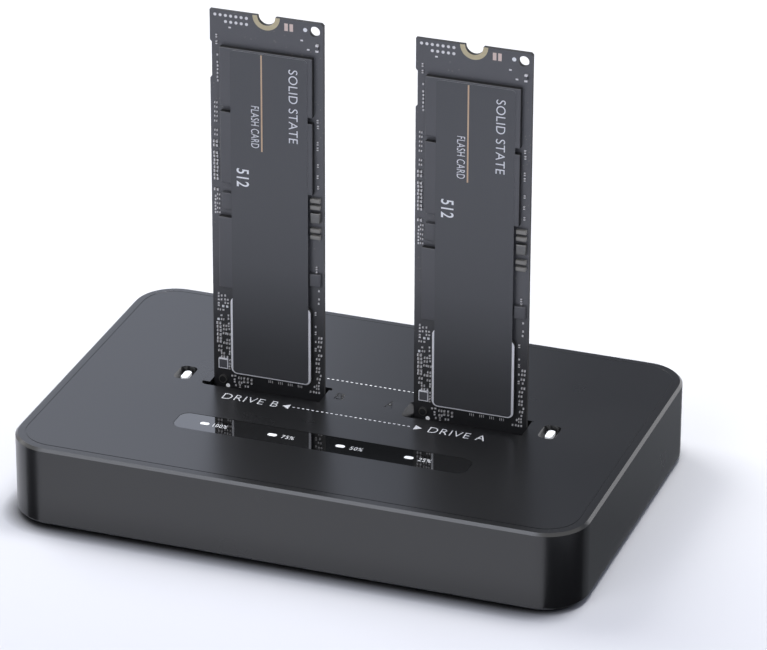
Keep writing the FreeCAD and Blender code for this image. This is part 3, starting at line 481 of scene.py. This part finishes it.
finishes = {}
for makeFinish, looks in ((mouldedFinish, mouldedLooks), (metalFinish, metalLooks), (boardFinish, boardLooks)):
    for slot, look in looks.items():
        start, *rest = slot.split("_")
        finishes[slot] = makeFinish(start + "".join(rest).title(), look)

for part in frame["record"]["subparts"]:
    node = frame["nodes"][part["node"]]
    node.data.materials.clear()
    node.data.materials.append(finishes[part["material_slot"]])
print("finishes placed on the frame's nodes")


# Cover: the frame's own shape, merged, with its letters sunk in and every sharp edge eased

coverSet = {"edge": 0.07 * mm, "angle": 32, "corner": 8.25 * mm, "cornerSteps": 8,
            "line": (1.84 * mm, 0.16 * mm, 0.07 * mm),  # inset, width and depth
            "letterDepth": 0.12 * mm, "letterWeight": -0.00001,
            "letters": (("B", (-3.2, 2.3), (1.95, 2.4)), ("A", (6.6, 2.45), (1.6, 2.8)))}  # middle and size
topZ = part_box("top_cover")[1].z


def makeText(name, words, size, depth, weight=0.0, spacing=1.0):
    # A line of text as a mesh, fitted to a width and a height, its lower left corner at the origin.
    capitalShare = 0.7  # height of a capital letter in the font's own size
    piece = startShape(bpy.ops.object.text_add, location=(0, 0, 0))
    piece.name = name
    piece.data.body = words
    piece.data.size = size[1] / capitalShare
    piece.data.extrude = depth / 2
    piece.data.offset = weight
    piece.data.space_character = spacing
    piece.data.resolution_u = 6
    bpy.ops.object.convert(target="MESH")
    piece = bpy.context.object
    low = Vector([min(v.co[i] for v in piece.data.vertices) for i in range(3)])
    high = Vector([max(v.co[i] for v in piece.data.vertices) for i in range(3)])
    fit = Matrix.Diagonal((size[0] / (high.x - low.x), size[1] / (high.y - low.y), 1, 1))
    piece.data.transform(fit @ Matrix.Translation((-low.x, -low.y, 0)))
    return piece


def placePiece(piece, place, across=(1, 0, 0), up=(0, 1, 0)):
    # Turns a flat piece so that its X and Y run along two directions, and moves it to its place.
    across, up = Vector(across), Vector(up)
    turn = Matrix((across, up, across.cross(up))).transposed().to_4x4()
    piece.matrix_world = Matrix.Translation(place) @ turn
    return settle(piece)


def makeLineCutter(inset, width, depth):  # a thin ring that follows the cover's outline
    low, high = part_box("top_cover")
    rings = []
    for gap, tall in ((inset, 2 * depth), (inset + width, 4 * depth)):
        ring = settle(startShape(
            bpy.ops.mesh.primitive_cube_add, size=1, location=((low.x + high.x) / 2, (low.y + high.y) / 2, topZ),
            scale=(high.x - low.x - 2 * gap, high.y - low.y - 2 * gap, tall)))
        selectWhere(ring, "EDGE", lambda edge: edgeRise(ring, edge) > depth)
        bpy.ops.mesh.bevel(offset=coverSet["corner"] - gap, segments=coverSet["cornerSteps"], affect="EDGES")
        bpy.ops.object.mode_set(mode="OBJECT")
        rings.append(ring)
    cutAway(*rings)
    return rings[0]


def makeCover():
    cover = freeCopy("top_cover", "coverSkin")
    easeSharpEdges(cover, coverSet["edge"], coverSet["angle"])
    cutAway(cover, makeLineCutter(*coverSet["line"]))
    for letter, middle, size in coverSet["letters"]:
        cutter = makeText("letterCutter", letter, (size[0] * mm, size[1] * mm), 2 * coverSet["letterDepth"],
                          coverSet["letterWeight"])
        placePiece(cutter, Vector(((middle[0] - size[0] / 2) * mm, (middle[1] - size[1] / 2) * mm, topZ)))
        cutAway(cover, cutter)
    smooth(cover, coverSet["angle"])
    applyModifier(cover, "WEIGHTED_NORMAL", mode="FACE_AREA", weight=50, keep_sharp=True)
    setIn(cover, "dock", finishes["cover_plastic"])
    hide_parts("top_cover")
    return cover


cover = makeCover()
print("cover:", len(cover.data.polygons), "faces")


# Slot ends: small inserts beside the sockets that close most of the gap next to a seated card

trimSet = {
    "wall": (0.28, 0.15), "front": 1.2, "rear": 0.38,  # from a socket to the slot's walls: left, right, front, rear
    "tuck": (0.72, 0.15), "gap": 0.13,  # into the left and right walls, and from the card
    "level": 0.02, "seat": 1.5,  # top and bottom, below the cover's top
    "ramp": {"a": 0.9, "b": 0.02},  # how far the left insert has come down at the card
    "notch": {"a": 0.0, "b": 1.35},  # left open at the left insert's front
    "open": {"a": 0.15, "b": 0.9},  # left open at the right insert's rear
}


def makePrism(points, front, rear):  # points are (x, z), drawn out from front to rear
    prism = startShape(bpy.ops.mesh.primitive_plane_add, size=1)
    placeCorners(prism, [(x, front, z) for x, z in points])
    return drawOut(prism, (0, rear - front, 0))


def makeSlotTrims():
    parts = []
    trim = {key: trimSet[key] * mm for key in ("front", "rear", "gap", "level", "seat")}
    level, seat = topZ - trim["level"], topZ - trim["seat"]
    for side in "ab":
        ramp, notch, opening = (trimSet[key][side] * mm for key in ("ramp", "notch", "open"))
        low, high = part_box("card_socket_" + side)
        cardLow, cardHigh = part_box("drive_" + side + "_board")
        front, rear = low.y - trim["front"], high.y + trim["rear"]
        inner, outer = cardLow.x - trim["gap"], low.x - (trimSet["wall"][0] + trimSet["tuck"][0]) * mm
        parts.append(makePrism(((outer, seat), (inner, seat), (inner, topZ - ramp), (outer, level)),
                               front + notch, rear))
        inner, outer = cardHigh.x + trim["gap"], high.x + (trimSet["wall"][1] + trimSet["tuck"][1]) * mm
        parts.append(makePrism(((inner, seat), (outer, seat), (outer, level), (inner, level)),
                               front, rear - opening))
    return setIn(joinPieces(parts, "slotTrims"), "dock", finishes["cover_plastic"])


makeSlotTrims()


# Printing on the cover and the strip

printSet = {  # in millimetres, but for the weights
    "thick": 0.012, "spacing": 1.1, "labelWeight": -0.00003,
    "labels": (("DRIVE B", -23.9, -5.85, 10.9, 2.15), ("DRIVE A", 16.7, -5.85, 11.0, 2.15)),
    "arrowTips": ((-12.1, -4.9, -10.7), (15.35, -4.85, 13.9)), "arrowHalf": 0.9,
    "dash": (0.47, 0.25), "dashEdge": 0.05, "dashPitch": 0.944,
    "frontRow": (-4.84, -9.89, 12.9), "rearRow": (8.56, -17.38, 22.3),
    "percents": (("100%", 2.75, -0.22), ("75%", 2.45, 0.0), ("50%", 2.45, 0.15), ("25%", 2.45, 0.15)),
    "percentHeight": 1.25, "percentShift": (1.85, -0.72), "percentWeight": -0.00001,
    "pillInset": 1.6,  # from the end of the light guides to the middle of the first light
}
inkThick = printSet["thick"] * mm


def makeLabels():
    parts = []
    for words, x, y, width, height in printSet["labels"]:
        text = makeText("label", words, (width * mm, height * mm), inkThick, printSet["labelWeight"],
                        printSet["spacing"])
        parts.append(placePiece(text, Vector((x * mm, y * mm, topZ + inkThick / 2))))
    return parts


def makeArrow(tipX, tipY, baseX):
    arrow = startShape(bpy.ops.mesh.primitive_circle_add, vertices=3, radius=1, fill_type="NGON")
    drawOut(arrow, (0, 0, 1))
    halfBase, run = math.cos(math.radians(30)), 1.5  # of a triangle of radius 1
    arrow.scale = (printSet["arrowHalf"] / halfBase * mm, abs(tipX - baseX) / run * mm, inkThick)
    arrow.rotation_euler = (0, 0, math.radians(90 if tipX < baseX else -90))
    middle = tipX + (baseX - tipX) * 2 / 3
    arrow.location = (middle * mm, tipY * mm, topZ)
    return settle(arrow)


def makeDashes(y, firstX, lastX):
    length, width = printSet["dash"]
    pitch = printSet["dashPitch"]
    row = startShape(bpy.ops.mesh.primitive_cube_add, size=1, location=(firstX * mm, y * mm, topZ + inkThick / 2),
                     scale=(length * mm, width * mm, inkThick))
    easeEdges(row, printSet["dashEdge"] * mm)
    settle(row)
    applyModifier(row, "ARRAY", count=int((lastX - firstX) / pitch) + 1, use_relative_offset=False,
                  use_constant_offset=True, constant_offset_displace=(pitch * mm, 0, 0))
    return row


def makeCoverPrint():
    parts = makeLabels()
    parts += [makeArrow(*tip) for tip in printSet["arrowTips"]]
    parts += [makeDashes(*printSet[row]) for row in ("frontRow", "rearRow")]
    return setIn(joinPieces(parts, "coverPrint"), "dock", finishes["white_ink"])


def makeStripPrint():
    lensLow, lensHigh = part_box("progress_lens")
    pipesLow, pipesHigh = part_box("progress_light_pipes")
    first, last = pipesLow.x + printSet["pillInset"] * mm, pipesHigh.x - printSet["pillInset"] * mm
    shiftX, shiftY = printSet["percentShift"]
    parts = []
    for i, (words, width, back) in enumerate(printSet["percents"]):
        pillX = first + (last - first) * i / (len(printSet["percents"]) - 1)
        text = makeText("percent", words, (width * mm, printSet["percentHeight"] * mm), inkThick,
                        printSet["percentWeight"], printSet["spacing"])
        place = Vector((pillX + (shiftX + back) * mm, (lensLow.y + lensHigh.y) / 2 + shiftY * mm,
                        lensHigh.z + inkThick / 2))
        parts.append(placePiece(text, place))
    return setIn(joinPieces(parts, "stripPrint"), "dock", finishes["white_ink"])


makeCoverPrint()
makeStripPrint()
print("printing done")


# Cards: everything below is placed in millimetres from a card's lower left corner, seen from the front

cardBoxes = {side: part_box("drive_" + side + "_board") for side in "ab"}
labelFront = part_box("drive_a_label")[0].y
fingerThick = 0.05 * mm
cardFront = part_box("drive_a_fingers")[0].y + fingerThick


def cardPlace(side, x, z, out=0.0):  # out is the distance in front of the board's face
    low = cardBoxes[side][0]
    return Vector((low.x + x * mm, cardFront - out * mm, low.z + z * mm))


def paintSides(piece, finish):  # every face that doesn't look forwards or back gets a second finish
    piece.data.materials.append(finish)
    selectWhere(piece, "FACE", lambda face: abs(face.normal.y) < turned["aside"])
    piece.active_material_index = 1
    bpy.ops.object.material_slot_assign()
    bpy.ops.object.mode_set(mode="OBJECT")


# The board's, the packages' and the shield's sides get painted shade, darker than their faces, and the label film's
# are paler.
# The film reaches a little further over the shield under it.
refineSet = {
    "edge": 0.05 * mm, "angle": 32, "filmGrow": (Vector((-0.17, 0, -0.1)) * mm, Vector((0.12, 0, 0)) * mm),
    "nodes": (("board", "board", "card_board", "chip_side"), ("memory", "memory", "chip_resin", "chip_side"),
              ("buffer", "buffer", "chip_resin", "chip_side"), ("small_chips", "small_chips", "chip_resin", None),
              ("capacitors", "capacitors", "capacitor_ceramic", None), ("inductor", "inductor", "coil_metal", None),
              ("controller", "shield", "controller_shield", "chip_side"),
              ("label", "film", "card_label", "film_edge")),  # node, piece, slot and the sides' finish
    "eased": ("memory", "buffer", "small_chips", "capacitors", "inductor"),
}


def refineCard(side):
    body = "drive_" + side
    for name, pieceName, slot, sideFinish in refineSet["nodes"]:
        node = body + "_" + name
        piece = freeCopy(node, "card_" + side + "_" + pieceName)
        if name in refineSet["eased"]:
            easeSharpEdges(piece, refineSet["edge"], refineSet["angle"])
            smooth(piece, refineSet["angle"])
        if name == "label":
            low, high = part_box(node)
            newLow, newHigh = low + refineSet["filmGrow"][0], high + refineSet["filmGrow"][1]
            grow = Matrix.Diagonal(((newHigh.x - newLow.x) / (high.x - low.x), 1,
                                    (newHigh.z - newLow.z) / (high.z - low.z), 1))
            piece.data.transform(Matrix.Translation(newLow) @ grow @ Matrix.Translation(-low))
        setIn(piece, body, finishes[slot])
        if sideFinish:
            paintSides(piece, finishes[sideFinish])
        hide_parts(node)


chipSet = {
    "sizes": {"dot": (0.34, 0.28, 0.18), "tiny": (0.60, 0.32, 0.25), "small": (0.86, 0.46, 0.35),
              "bar": (0.72, 0.36, 0.30), "tall": (1.05, 0.34, 0.30), "large": (1.45, 0.55, 0.45)},
    "bodies": {"dot": "solder_tin", "large": "chip_resin"},
    "body": (0.92, 0.9),  # a body's height and width, as shares of its caps'
    "cap": 0.26,  # share of the length that each tinned end takes
    "step": 0.001,  # where a cap starts, next to its body
    "jitter": 0.05,
}


def makeChip(kind):
    # A leadless part: a ceramic body drawn out at both ends into tinned caps a little fuller than it.
    length, width, height = chipSet["sizes"][kind]
    cap, step = length * chipSet["cap"] * mm, chipSet["step"] * mm
    bodyHeight, bodyWidth = chipSet["body"]
    chip = startShape(bpy.ops.mesh.primitive_cube_add, size=1,
                      scale=(length * mm - 2 * cap, height * bodyHeight * mm, width * bodyWidth * mm))
    chip.name = kind + "Chip"
    settle(chip)
    for finish in (chipSet["bodies"].get(kind, "small_body"), "solder_tin"):
        chip.data.materials.append(finishes[finish])
    selectWhere(chip, "FACE", lambda face: abs(face.normal.x) > turned["along"])
    for reach in (step, cap):
        bpy.ops.mesh.extrude_region_shrink_fatten(TRANSFORM_OT_shrink_fatten={"value": reach})
    bpy.ops.object.mode_set(mode="OBJECT")
    half = length / 2 * mm - cap
    for point in chip.data.vertices:
        if abs(point.co.x) > half + step / 2:
            point.co.y = math.copysign(height / 2 * mm, point.co.y)
            point.co.z = math.copysign(width / 2 * mm, point.co.z)
    reach = max(point.co.x for point in chip.data.vertices)
    chip.data.transform(Matrix.Translation((0, -height / 2 * mm, 0))
                        @ Matrix.Diagonal((length / 2 * mm / reach, 1, 1, 1)))
    for face in chip.data.polygons:
        face.material_index = 1 if abs(face.center.x) > half else 0
    return chip


padEdge = 0.04 * mm  # on every square pad


def makeRoundPad(radius, sides, thick):
    pad = settle(startShape(bpy.ops.mesh.primitive_circle_add, vertices=sides, radius=radius * mm,
                            fill_type="NGON", rotation=(math.radians(90), 0, 0)))
    return drawOut(pad, (0, -thick * mm, 0))


def makeSquarePad(width, height, thick):
    pad = startShape(bpy.ops.mesh.primitive_cube_add, size=1, location=(0, -thick / 2 * mm, 0),
                     scale=(width * mm, thick * mm, height * mm))
    easeEdges(pad, padEdge)
    return settle(pad)


def layCopies(pattern, spots, side):
    # spots are (x, z, upright): a copy of the pattern at each, turned if it stands upright.
    copies = []
    for x, z, upright in spots:
        twin = copyPiece(pattern, "part")
        turn = Matrix.Rotation(math.radians(90), 4, "Y") if upright else Matrix.Identity(4)
        twin.data.transform(Matrix.Translation(cardPlace(side, x, z)) @ turn)
        copies.append(twin)
    return copies


# Columns of small parts: place across, lowest and highest place up the card, pitch, size, whether each
# part stands upright, and the share of places that are filled.
columnSet = (
    (0.75, 39.6, 43.4, 0.66, "dot", True, 0.9), (1.40, 39.8, 43.4, 0.90, "tiny", False, 0.7),
    (1.00, 44.4, 54.6, 0.74, "small", False, 0.85), (1.05, 55.4, 62.6, 0.92, "tiny", False, 0.6),
    (1.50, 66.2, 71.8, 0.72, "dot", True, 0.75), (20.95, 46.6, 61.8, 1.10, "tiny", True, 0.45),
    (20.70, 30.4, 35.8, 0.95, "tiny", True, 0.65), (21.05, 24.2, 26.8, 0.85, "dot", True, 0.7),
)
singleSet = {
    "dot": ((1.15, 23.1, True), (1.15, 22.5, True), (1.15, 21.8, False), (1.15, 21.1, False), (1.15, 20.6, False),
            (1.75, 22.7, True), (1.70, 21.9, True), (2.45, 22.8, True), (2.40, 22.0, True), (2.45, 21.3, True),
            (2.95, 22.0, False), (3.00, 21.3, False), (2.05, 19.8, False), (1.65, 18.6, False),
            (3.05, 18.8, True), (3.05, 18.1, True), (3.20, 16.0, True), (3.25, 11.3, True), (3.20, 10.8, True),
            (3.25, 9.5, True), (3.25, 8.8, True), (2.75, 10.1, True), (3.67, 6.33, False), (4.30, 6.43, False),
            (4.15, 5.65, False), (4.15, 5.15, False), (4.40, 4.47, True), (6.30, 4.5, True), (6.85, 4.55, True),
            (20.42, 19.3, True), (20.42, 16.2, True), (21.40, 9.3, True), (20.15, 6.8, True), (21.05, 7.8, True),
            (19.35, 5.65, True), (20.00, 5.7, True), (20.50, 5.65, True), (21.05, 5.7, True), (21.2, 14.5, True)),
    "tiny": ((1.25, 19.8, False), (1.90, 17.85, False), (1.35, 75.0, True), (1.35, 73.7, True),
             (20.42, 22.0, True), (20.42, 18.0, True), (20.42, 14.6, True), (5.25, 4.45, True),
             (20.8, 7.1, False), (20.8, 6.5, False)),
    "bar": ((1.40, 12.2, False), (1.35, 11.3, False), (1.90, 10.8, False), (1.90, 10.1, False),
            (2.40, 16.6, False), (2.40, 15.85, False), (2.30, 15.0, False), (2.40, 13.0, False),
            (3.15, 16.9, True), (3.15, 14.95, False), (3.05, 13.7, False), (3.05, 13.0, False),
            (2.98, 12.05, False), (3.20, 8.0, True), (5.30, 6.15, False), (5.35, 5.2, False),
            (21.35, 17.1, False), (21.32, 16.3, False), (21.2, 15.3, False), (21.3, 13.5, False),
            (20.9, 12.7, False), (20.8, 11.8, False), (20.9, 10.8, False), (20.85, 10.1, False),
            (21.0, 8.6, False)),
    "small": ((1.15, 17.0, False), (1.22, 16.25, False), (1.25, 15.5, False), (1.22, 14.65, False),
              (1.25, 13.85, False), (1.22, 13.2, False)),
    "tall": ((6.10, 5.86, True), (6.85, 5.90, True), (7.60, 5.75, True)),
    "large": ((20.9, 75.3, True),),
}


def columnSpots(column, luck):
    x, low, high, pitch, kind, upright, fill = column
    spots = []
    for i in range(int((high - low) / pitch) + 1):
        if luck.random() > fill:
            continue
        shiftX = luck.uniform(-1, 1) * chipSet["jitter"]
        shiftZ = luck.uniform(-1, 1) * chipSet["jitter"]
        spots.append((x + shiftX, low + i * pitch + shiftZ, upright))
    return spots


frameSet = {"size": (1.9, 2.05, 0.53), "wall": 0.17, "past": 0.2, "place": (2.06, 8.8)}
lidSet = {"place": (1.9, 5.5), "parts": (((0.8, 20, 0.45), "coil_metal"), ((0.62, 20, 0.5), "socket_plastic"))}


def makeFrame():  # an open metal frame; the cutter reaches past both its faces
    width, height, thick = frameSet["size"]
    wall, past = frameSet["wall"], frameSet["past"]
    rim = makeSquarePad(width, height, thick)
    hollow = makeSquarePad(width - 2 * wall, height - 2 * wall, thick + 2 * past)
    hollow.data.transform(Matrix.Translation((0, past * mm, 0)))
    cutAway(rim, hollow)
    rim.data.materials.append(finishes["controller_shield"])
    return rim


def makeCardParts(side):
    luck = random.Random(11)  # the same board on both cards
    patterns = {kind: makeChip(kind) for kind in chipSet["sizes"]}
    layout = [(patterns[column[4]], columnSpots(column, luck)) for column in columnSet]
    layout += [(patterns[kind], spots) for kind, spots in singleSet.items()]
    layout.append((makeFrame(), [(*frameSet["place"], False)]))
    for size, finish in lidSet["parts"]:
        lid = makeRoundPad(*size)
        lid.data.materials.append(finishes[finish])
        layout.append((lid, [(*lidSet["place"], False)]))
    parts = []
    for pattern, spots in layout:
        parts += layCopies(pattern, spots, side)
    for pattern in set(pattern for pattern, spots in layout):
        bpy.data.objects.remove(pattern)
    return setIn(joinPieces(parts, "card_" + side + "_chips"), "drive_" + side)


# Pads: how each kind is made, its size, where it stands, and which of the pieces below it belongs to.
padSet = (
    (makeRoundPad, (0.3, 12, 0.02), "pads",
     [(1.05 + 1.02 * i, 79.15) for i in range(7)] + [(3.1 + 1.02 * i, 77.95) for i in range(5)]),
    (makeRoundPad, (0.4, 16, 0.02), "brightPads", [(18.53, 78.48)]),
    # A round dot low on the card with the light pipes' glowing finish: a painted glow that lifts it out of the
    # shade it sits in.
    (makeRoundPad, (0.4, 16, 0.02), "lamp", [(2.78, 4.13)]),
    (makeSquarePad, (0.44, 0.42, 0.22), "brightPads", [(2.05, 20.55), (2.85, 20.6), (1.08, 17.75)]),
    (makeSquarePad, (0.13, 0.55, 0.02), "pads",
     [(11.0 + 1.95 * j + 0.36 * i, 6.35) for j in range(4) for i in range(3)]),
    (makeSquarePad, (0.5, 0.3, 0.02), "pads", [(3.9, 76.9), (17.85, 76.35), (19.1, 74.7)]),
    (makeSquarePad, (0.68, 1.45, 0.03), "barePads", [(14.85, 78.5), (15.85, 78.5)]),
)
padPieces = {"lamp": ("light_pipe", "light_pipe"), "barePads": ("gold_plating", "bare_pad"),
             "brightPads": ("gold_plating", "white_ink"), "pads": ("gold_plating", "solder_tin")}


def makeCardPads(side):
    groups = {name: [] for name in padPieces}
    for makePad, size, name, places in padSet:
        pattern = makePad(*size)
        groups[name] += layCopies(pattern, [(x, z, False) for x, z in places], side)
        bpy.data.objects.remove(pattern)
    for name, (slot, finish) in padPieces.items():
        setIn(joinPieces(groups[name], "card_" + side + "_" + name), "drive_" + side, finishes[finish])


labelSet = {  # words, left, right, top, bottom, weight and ink of each line, and the rule beside them
    "thick": 0.012, "spacing": 1.05,
    "lines": (("SOLID STATE", 15.7, 17.45, 70.8, 56.3, -0.00001, "label_ink"),
              ("FLASH CARD", 8.35, 9.9, 62.6, 54.3, -0.00001, "label_ink"),
              ("512", 5.4, 7.85, 49.75, 46.1, 0.00004, "bold_ink")),
    "rule": (10.42, 53.7, 72.8, 0.3), "ruleEdge": 0.05,
}


def makeLabelPrint(side):
    thick = labelSet["thick"]
    front = (cardFront - labelFront) / mm + thick / 2
    parts = []
    for words, left, right, top, bottom, weight, ink in labelSet["lines"]:
        text = makeText("labelText", words, ((top - bottom) * mm, (right - left) * mm), thick * mm, weight,
                        labelSet["spacing"])
        placePiece(text, cardPlace(side, left, top, front), (0, 0, -1), (1, 0, 0))
        text.data.materials.append(finishes[ink])
        parts.append(text)
    x, low, high, width = labelSet["rule"]
    rule = startShape(bpy.ops.mesh.primitive_cube_add, size=1, location=cardPlace(side, x, (low + high) / 2, front),
                      scale=(width * mm, thick * mm, (high - low) * mm))
    easeEdges(rule, labelSet["ruleEdge"] * mm)
    settle(rule)
    rule.data.materials.append(finishes["tan_ink"])
    return setIn(joinPieces(parts + [rule], "card_" + side + "_print"), "drive_" + side)


for side in "ab":
    refineCard(side)
    makeCardParts(side)
    makeCardPads(side)
    makeLabelPrint(side)
print("cards dressed")


# Floor, lamps, reflecting panels and camera

stageSet = {
    "floor": ((0.71, 0.72, 0.77), (0.875, 0.875, 0.875), -0.10, 0.06),  # front and rear tone, and where each ends; the darker, bluer front tone is painted shade where the light falls off
    "paintedContactShadow": (0.0036, 2.1, 0.042, 0.056),  # painted contact shadow: reach, strength, and where it fades out to the right
    "sky": (0.32, 0.34, 0.42), "size": 12,  # light where no background shows, and the floor's side
}
lampSet = {  # place, power and size
    "overhead": ((0.17, 0.20, 1.0), 5.2, 0.35),
    "left": ((-0.75, 0.32, 0.75), 7.0, 0.7),
    "fill": ((-0.30, -0.85, 0.75), 2.4, 0.6),
}

# Panels that only show in reflections: colour and strength, and either the place of the middle, the size
# and the turn about X, or the four corners on the floor. A graded panel has another strength at its far
# end, and two places along an axis between which it changes.
reflectorSet = {
    "rearGlow": {"place": (0.0, 0.2, 0.16), "size": (0.9, 0.32), "turn": 90, "color": (0.94, 1, 1.17),
                 "strength": 0.99, "grade": ("X", 0.26, -0.10, -0.02)},
    "rearShade": {"place": (0.0, 0.198, 0.129), "size": (0.17, 0.022), "turn": 90, "color": (0.95, 1, 1.1),
                  "strength": 0.035},
    "rightGlow": {"place": (0.1675, 0.199, 0.06), "size": (0.245, 0.12), "turn": 90, "color": (1, 1, 1.04),
                  "strength": 1.9},
    "frontGlow": {"place": (-0.21, -0.28, 0.6), "size": (0.4, 0.25), "turn": 0, "color": (0.96, 1, 1.12),
                  "strength": 4.0},
    "frontFloor": {"corners": ((-0.09, -0.10), (0.0669, -0.10), (0.0492, -0.0366), (-0.0485, -0.0366)),
                   "height": 0.0005, "color": (0.96, 0.98, 1.07), "strength": 1.02,
                   "grade": ("Y", 0.76, -0.047, -0.0395)},
    "rightShade": {"corners": ((0.0492, -0.0362), (0.0669, -0.0934), (0.1029, 0.0053), (0.0549, -0.0307)),
                   "height": 0.0006, "color": (1, 1, 1.1), "strength": 0.02},
    "rightGrey": {"corners": ((0.0556, -0.03), (0.25, -0.03), (0.25, 0.21), (0.0556, 0.21)),
                  "height": 0.0004, "color": (0.95, 1, 1.1), "strength": 0.17, "grade": ("Y", 0.3, 0.0, 0.06)},
    "leftShade": {"corners": ((-0.0483, -0.0363), (-0.0884, -0.0809), (-0.1094, -0.0480), (-0.05075, -0.0355)),
                  "height": 0.0006, "color": (1, 1, 1.1), "strength": 0.05},
}
cameraSet = {"eye": Vector((279.45, -769.35, 430.60)) * mm, "pitch": 25.917, "yaw": 19.563, "roll": 0.2035,
             "sensor": 36, "lens": 231.55, "clip": (0.05, 20)}


def makeFloor():
    floor = startShape(bpy.ops.mesh.primitive_plane_add, size=stageSet["size"], location=(0, 0, cadLow.z))
    floor.name = "floor"
    material, tree, shader = startFinish("floorPaper", Roughness=0.9, Specular_IOR_Level=0.1)
    front, rear, frontY, rearY = stageSet["floor"]
    reach, strength, nearX, farX = stageSet["paintedContactShadow"]
    place = addNode(tree, "ShaderNodeTexCoord")
    split = addNode(tree, "ShaderNodeSeparateXYZ")
    depth = addNode(tree, "ShaderNodeMapRange", in_From_Min=frontY, in_From_Max=rearY)
    floorShadeTone = mixColors(tree, depth.outputs[0], front, rear)
    # Painted contact shadow: a narrow dark line where the front of the dock stands on the floor, as the camera sees
    # it.
    near = addNode(tree, "ShaderNodeAmbientOcclusion", in_Distance=reach, samples=8)
    fade = addNode(tree, "ShaderNodeMapRange", in_From_Min=nearX, in_From_Max=farX, in_To_Min=strength,
                   in_To_Max=0.0)
    power = addNode(tree, "ShaderNodeMath", operation="POWER")
    path = addNode(tree, "ShaderNodeLightPath")
    seen = addNode(tree, "ShaderNodeMath", operation="MULTIPLY")
    paintedContactShadow = addNode(tree, "ShaderNodeVectorMath", operation="SCALE")
    tree.links.new(floorShadeTone, paintedContactShadow.inputs[0])
    wire(tree,
         (place, "Object", split, 0), (split, "Y", depth, "Value"), (split, "X", fade, "Value"),
         (fade, 0, seen, 0), (path, "Is Camera Ray", seen, 1), (near, "AO", power, 0), (seen, 0, power, 1),
         (power, 0, paintedContactShadow, "Scale"), (paintedContactShadow, 0, shader, "Base Color"))
    floor.data.materials.append(material)


def makeReflector(name, look):
    panel = startShape(bpy.ops.mesh.primitive_plane_add, size=1)
    panel.name = name
    if "corners" in look:
        placeCorners(panel, [(x, y, look["height"]) for x, y in look["corners"]])
    else:
        panel.location = look["place"]
        panel.rotation_euler = (math.radians(look["turn"]), 0, 0)
        panel.scale = (*look["size"], 1)
    settle(panel)
    material = bpy.data.materials.new(name)
    material.use_nodes = True
    tree = material.node_tree
    tree.nodes.remove(tree.nodes["Principled BSDF"])
    glow = addNode(tree, "ShaderNodeEmission", in_Color=(*look["color"], 1), in_Strength=look["strength"])
    wire(tree, (glow, 0, tree.nodes["Material Output"], "Surface"))
    if "grade" in look:
        axis, farStrength, near, far = look["grade"]
        place = addNode(tree, "ShaderNodeTexCoord")
        split = addNode(tree, "ShaderNodeSeparateXYZ")
        grade = addNode(tree, "ShaderNodeMapRange", in_From_Min=near, in_From_Max=far,
                        in_To_Min=look["strength"], in_To_Max=farStrength)
        wire(tree, (place, "Object", split, 0), (split, axis, grade, "Value"), (grade, 0, glow, "Strength"))
    panel.data.materials.append(material)
    for ray in ("camera", "diffuse", "shadow", "transmission", "volume_scatter"):
        setattr(panel, "visible_" + ray, False)


def makeWorld():
    world = bpy.data.worlds.new("studio")
    bpy.context.scene.world = world
    world.use_nodes = True
    tree = world.node_tree
    back = tree.nodes["Background"]
    path = addNode(tree, "ShaderNodeLightPath")
    direct = addNode(tree, "ShaderNodeMath", operation="MAXIMUM")
    seen = addNode(tree, "ShaderNodeMath", operation="MAXIMUM")
    wire(tree, (path, "Is Camera Ray", direct, 0), (path, "Is Glossy Ray", direct, 1), (direct, 0, seen, 0),
         (path, "Is Transmission Ray", seen, 1))
    tree.links.new(mixColors(tree, seen.outputs[0], stageSet["sky"], (1, 1, 1)), back.inputs["Color"])
    back.inputs["Strength"].default_value = 1.0


def makeLamp(name, place, power, size):
    bpy.ops.object.light_add(type="AREA", location=place)
    lamp = bpy.context.object
    lamp.name = name
    lamp.data.energy = power
    lamp.data.shape = "SQUARE"
    lamp.data.size = size
    lamp.rotation_euler = (-Vector(place)).to_track_quat("-Z", "Y").to_euler()
    lamp.visible_glossy = name != "fill"  # the fill leaves no highlight of its own


def makeCamera():
    pitch, yaw, roll = (math.radians(cameraSet[key]) for key in ("pitch", "yaw", "roll"))
    turn = (Matrix.Rotation(yaw, 4, "Z") @ Matrix.Rotation(math.pi / 2 - pitch, 4, "X")
            @ Matrix.Rotation(roll, 4, "Z"))
    bpy.ops.object.camera_add(location=cameraSet["eye"], rotation=turn.to_euler())
    camera = bpy.context.object
    camera.data.sensor_width = cameraSet["sensor"]
    camera.data.lens = cameraSet["lens"]
    camera.data.clip_start, camera.data.clip_end = cameraSet["clip"]
    bpy.context.scene.camera = camera


makeFloor()
makeWorld()
for lampName, lampLook in lampSet.items():
    makeLamp(lampName, *lampLook)
for panelName, panelLook in reflectorSet.items():
    makeReflector(panelName, panelLook)
makeCamera()
bpy.context.scene.view_settings.view_transform = "Standard"
print("stage set")
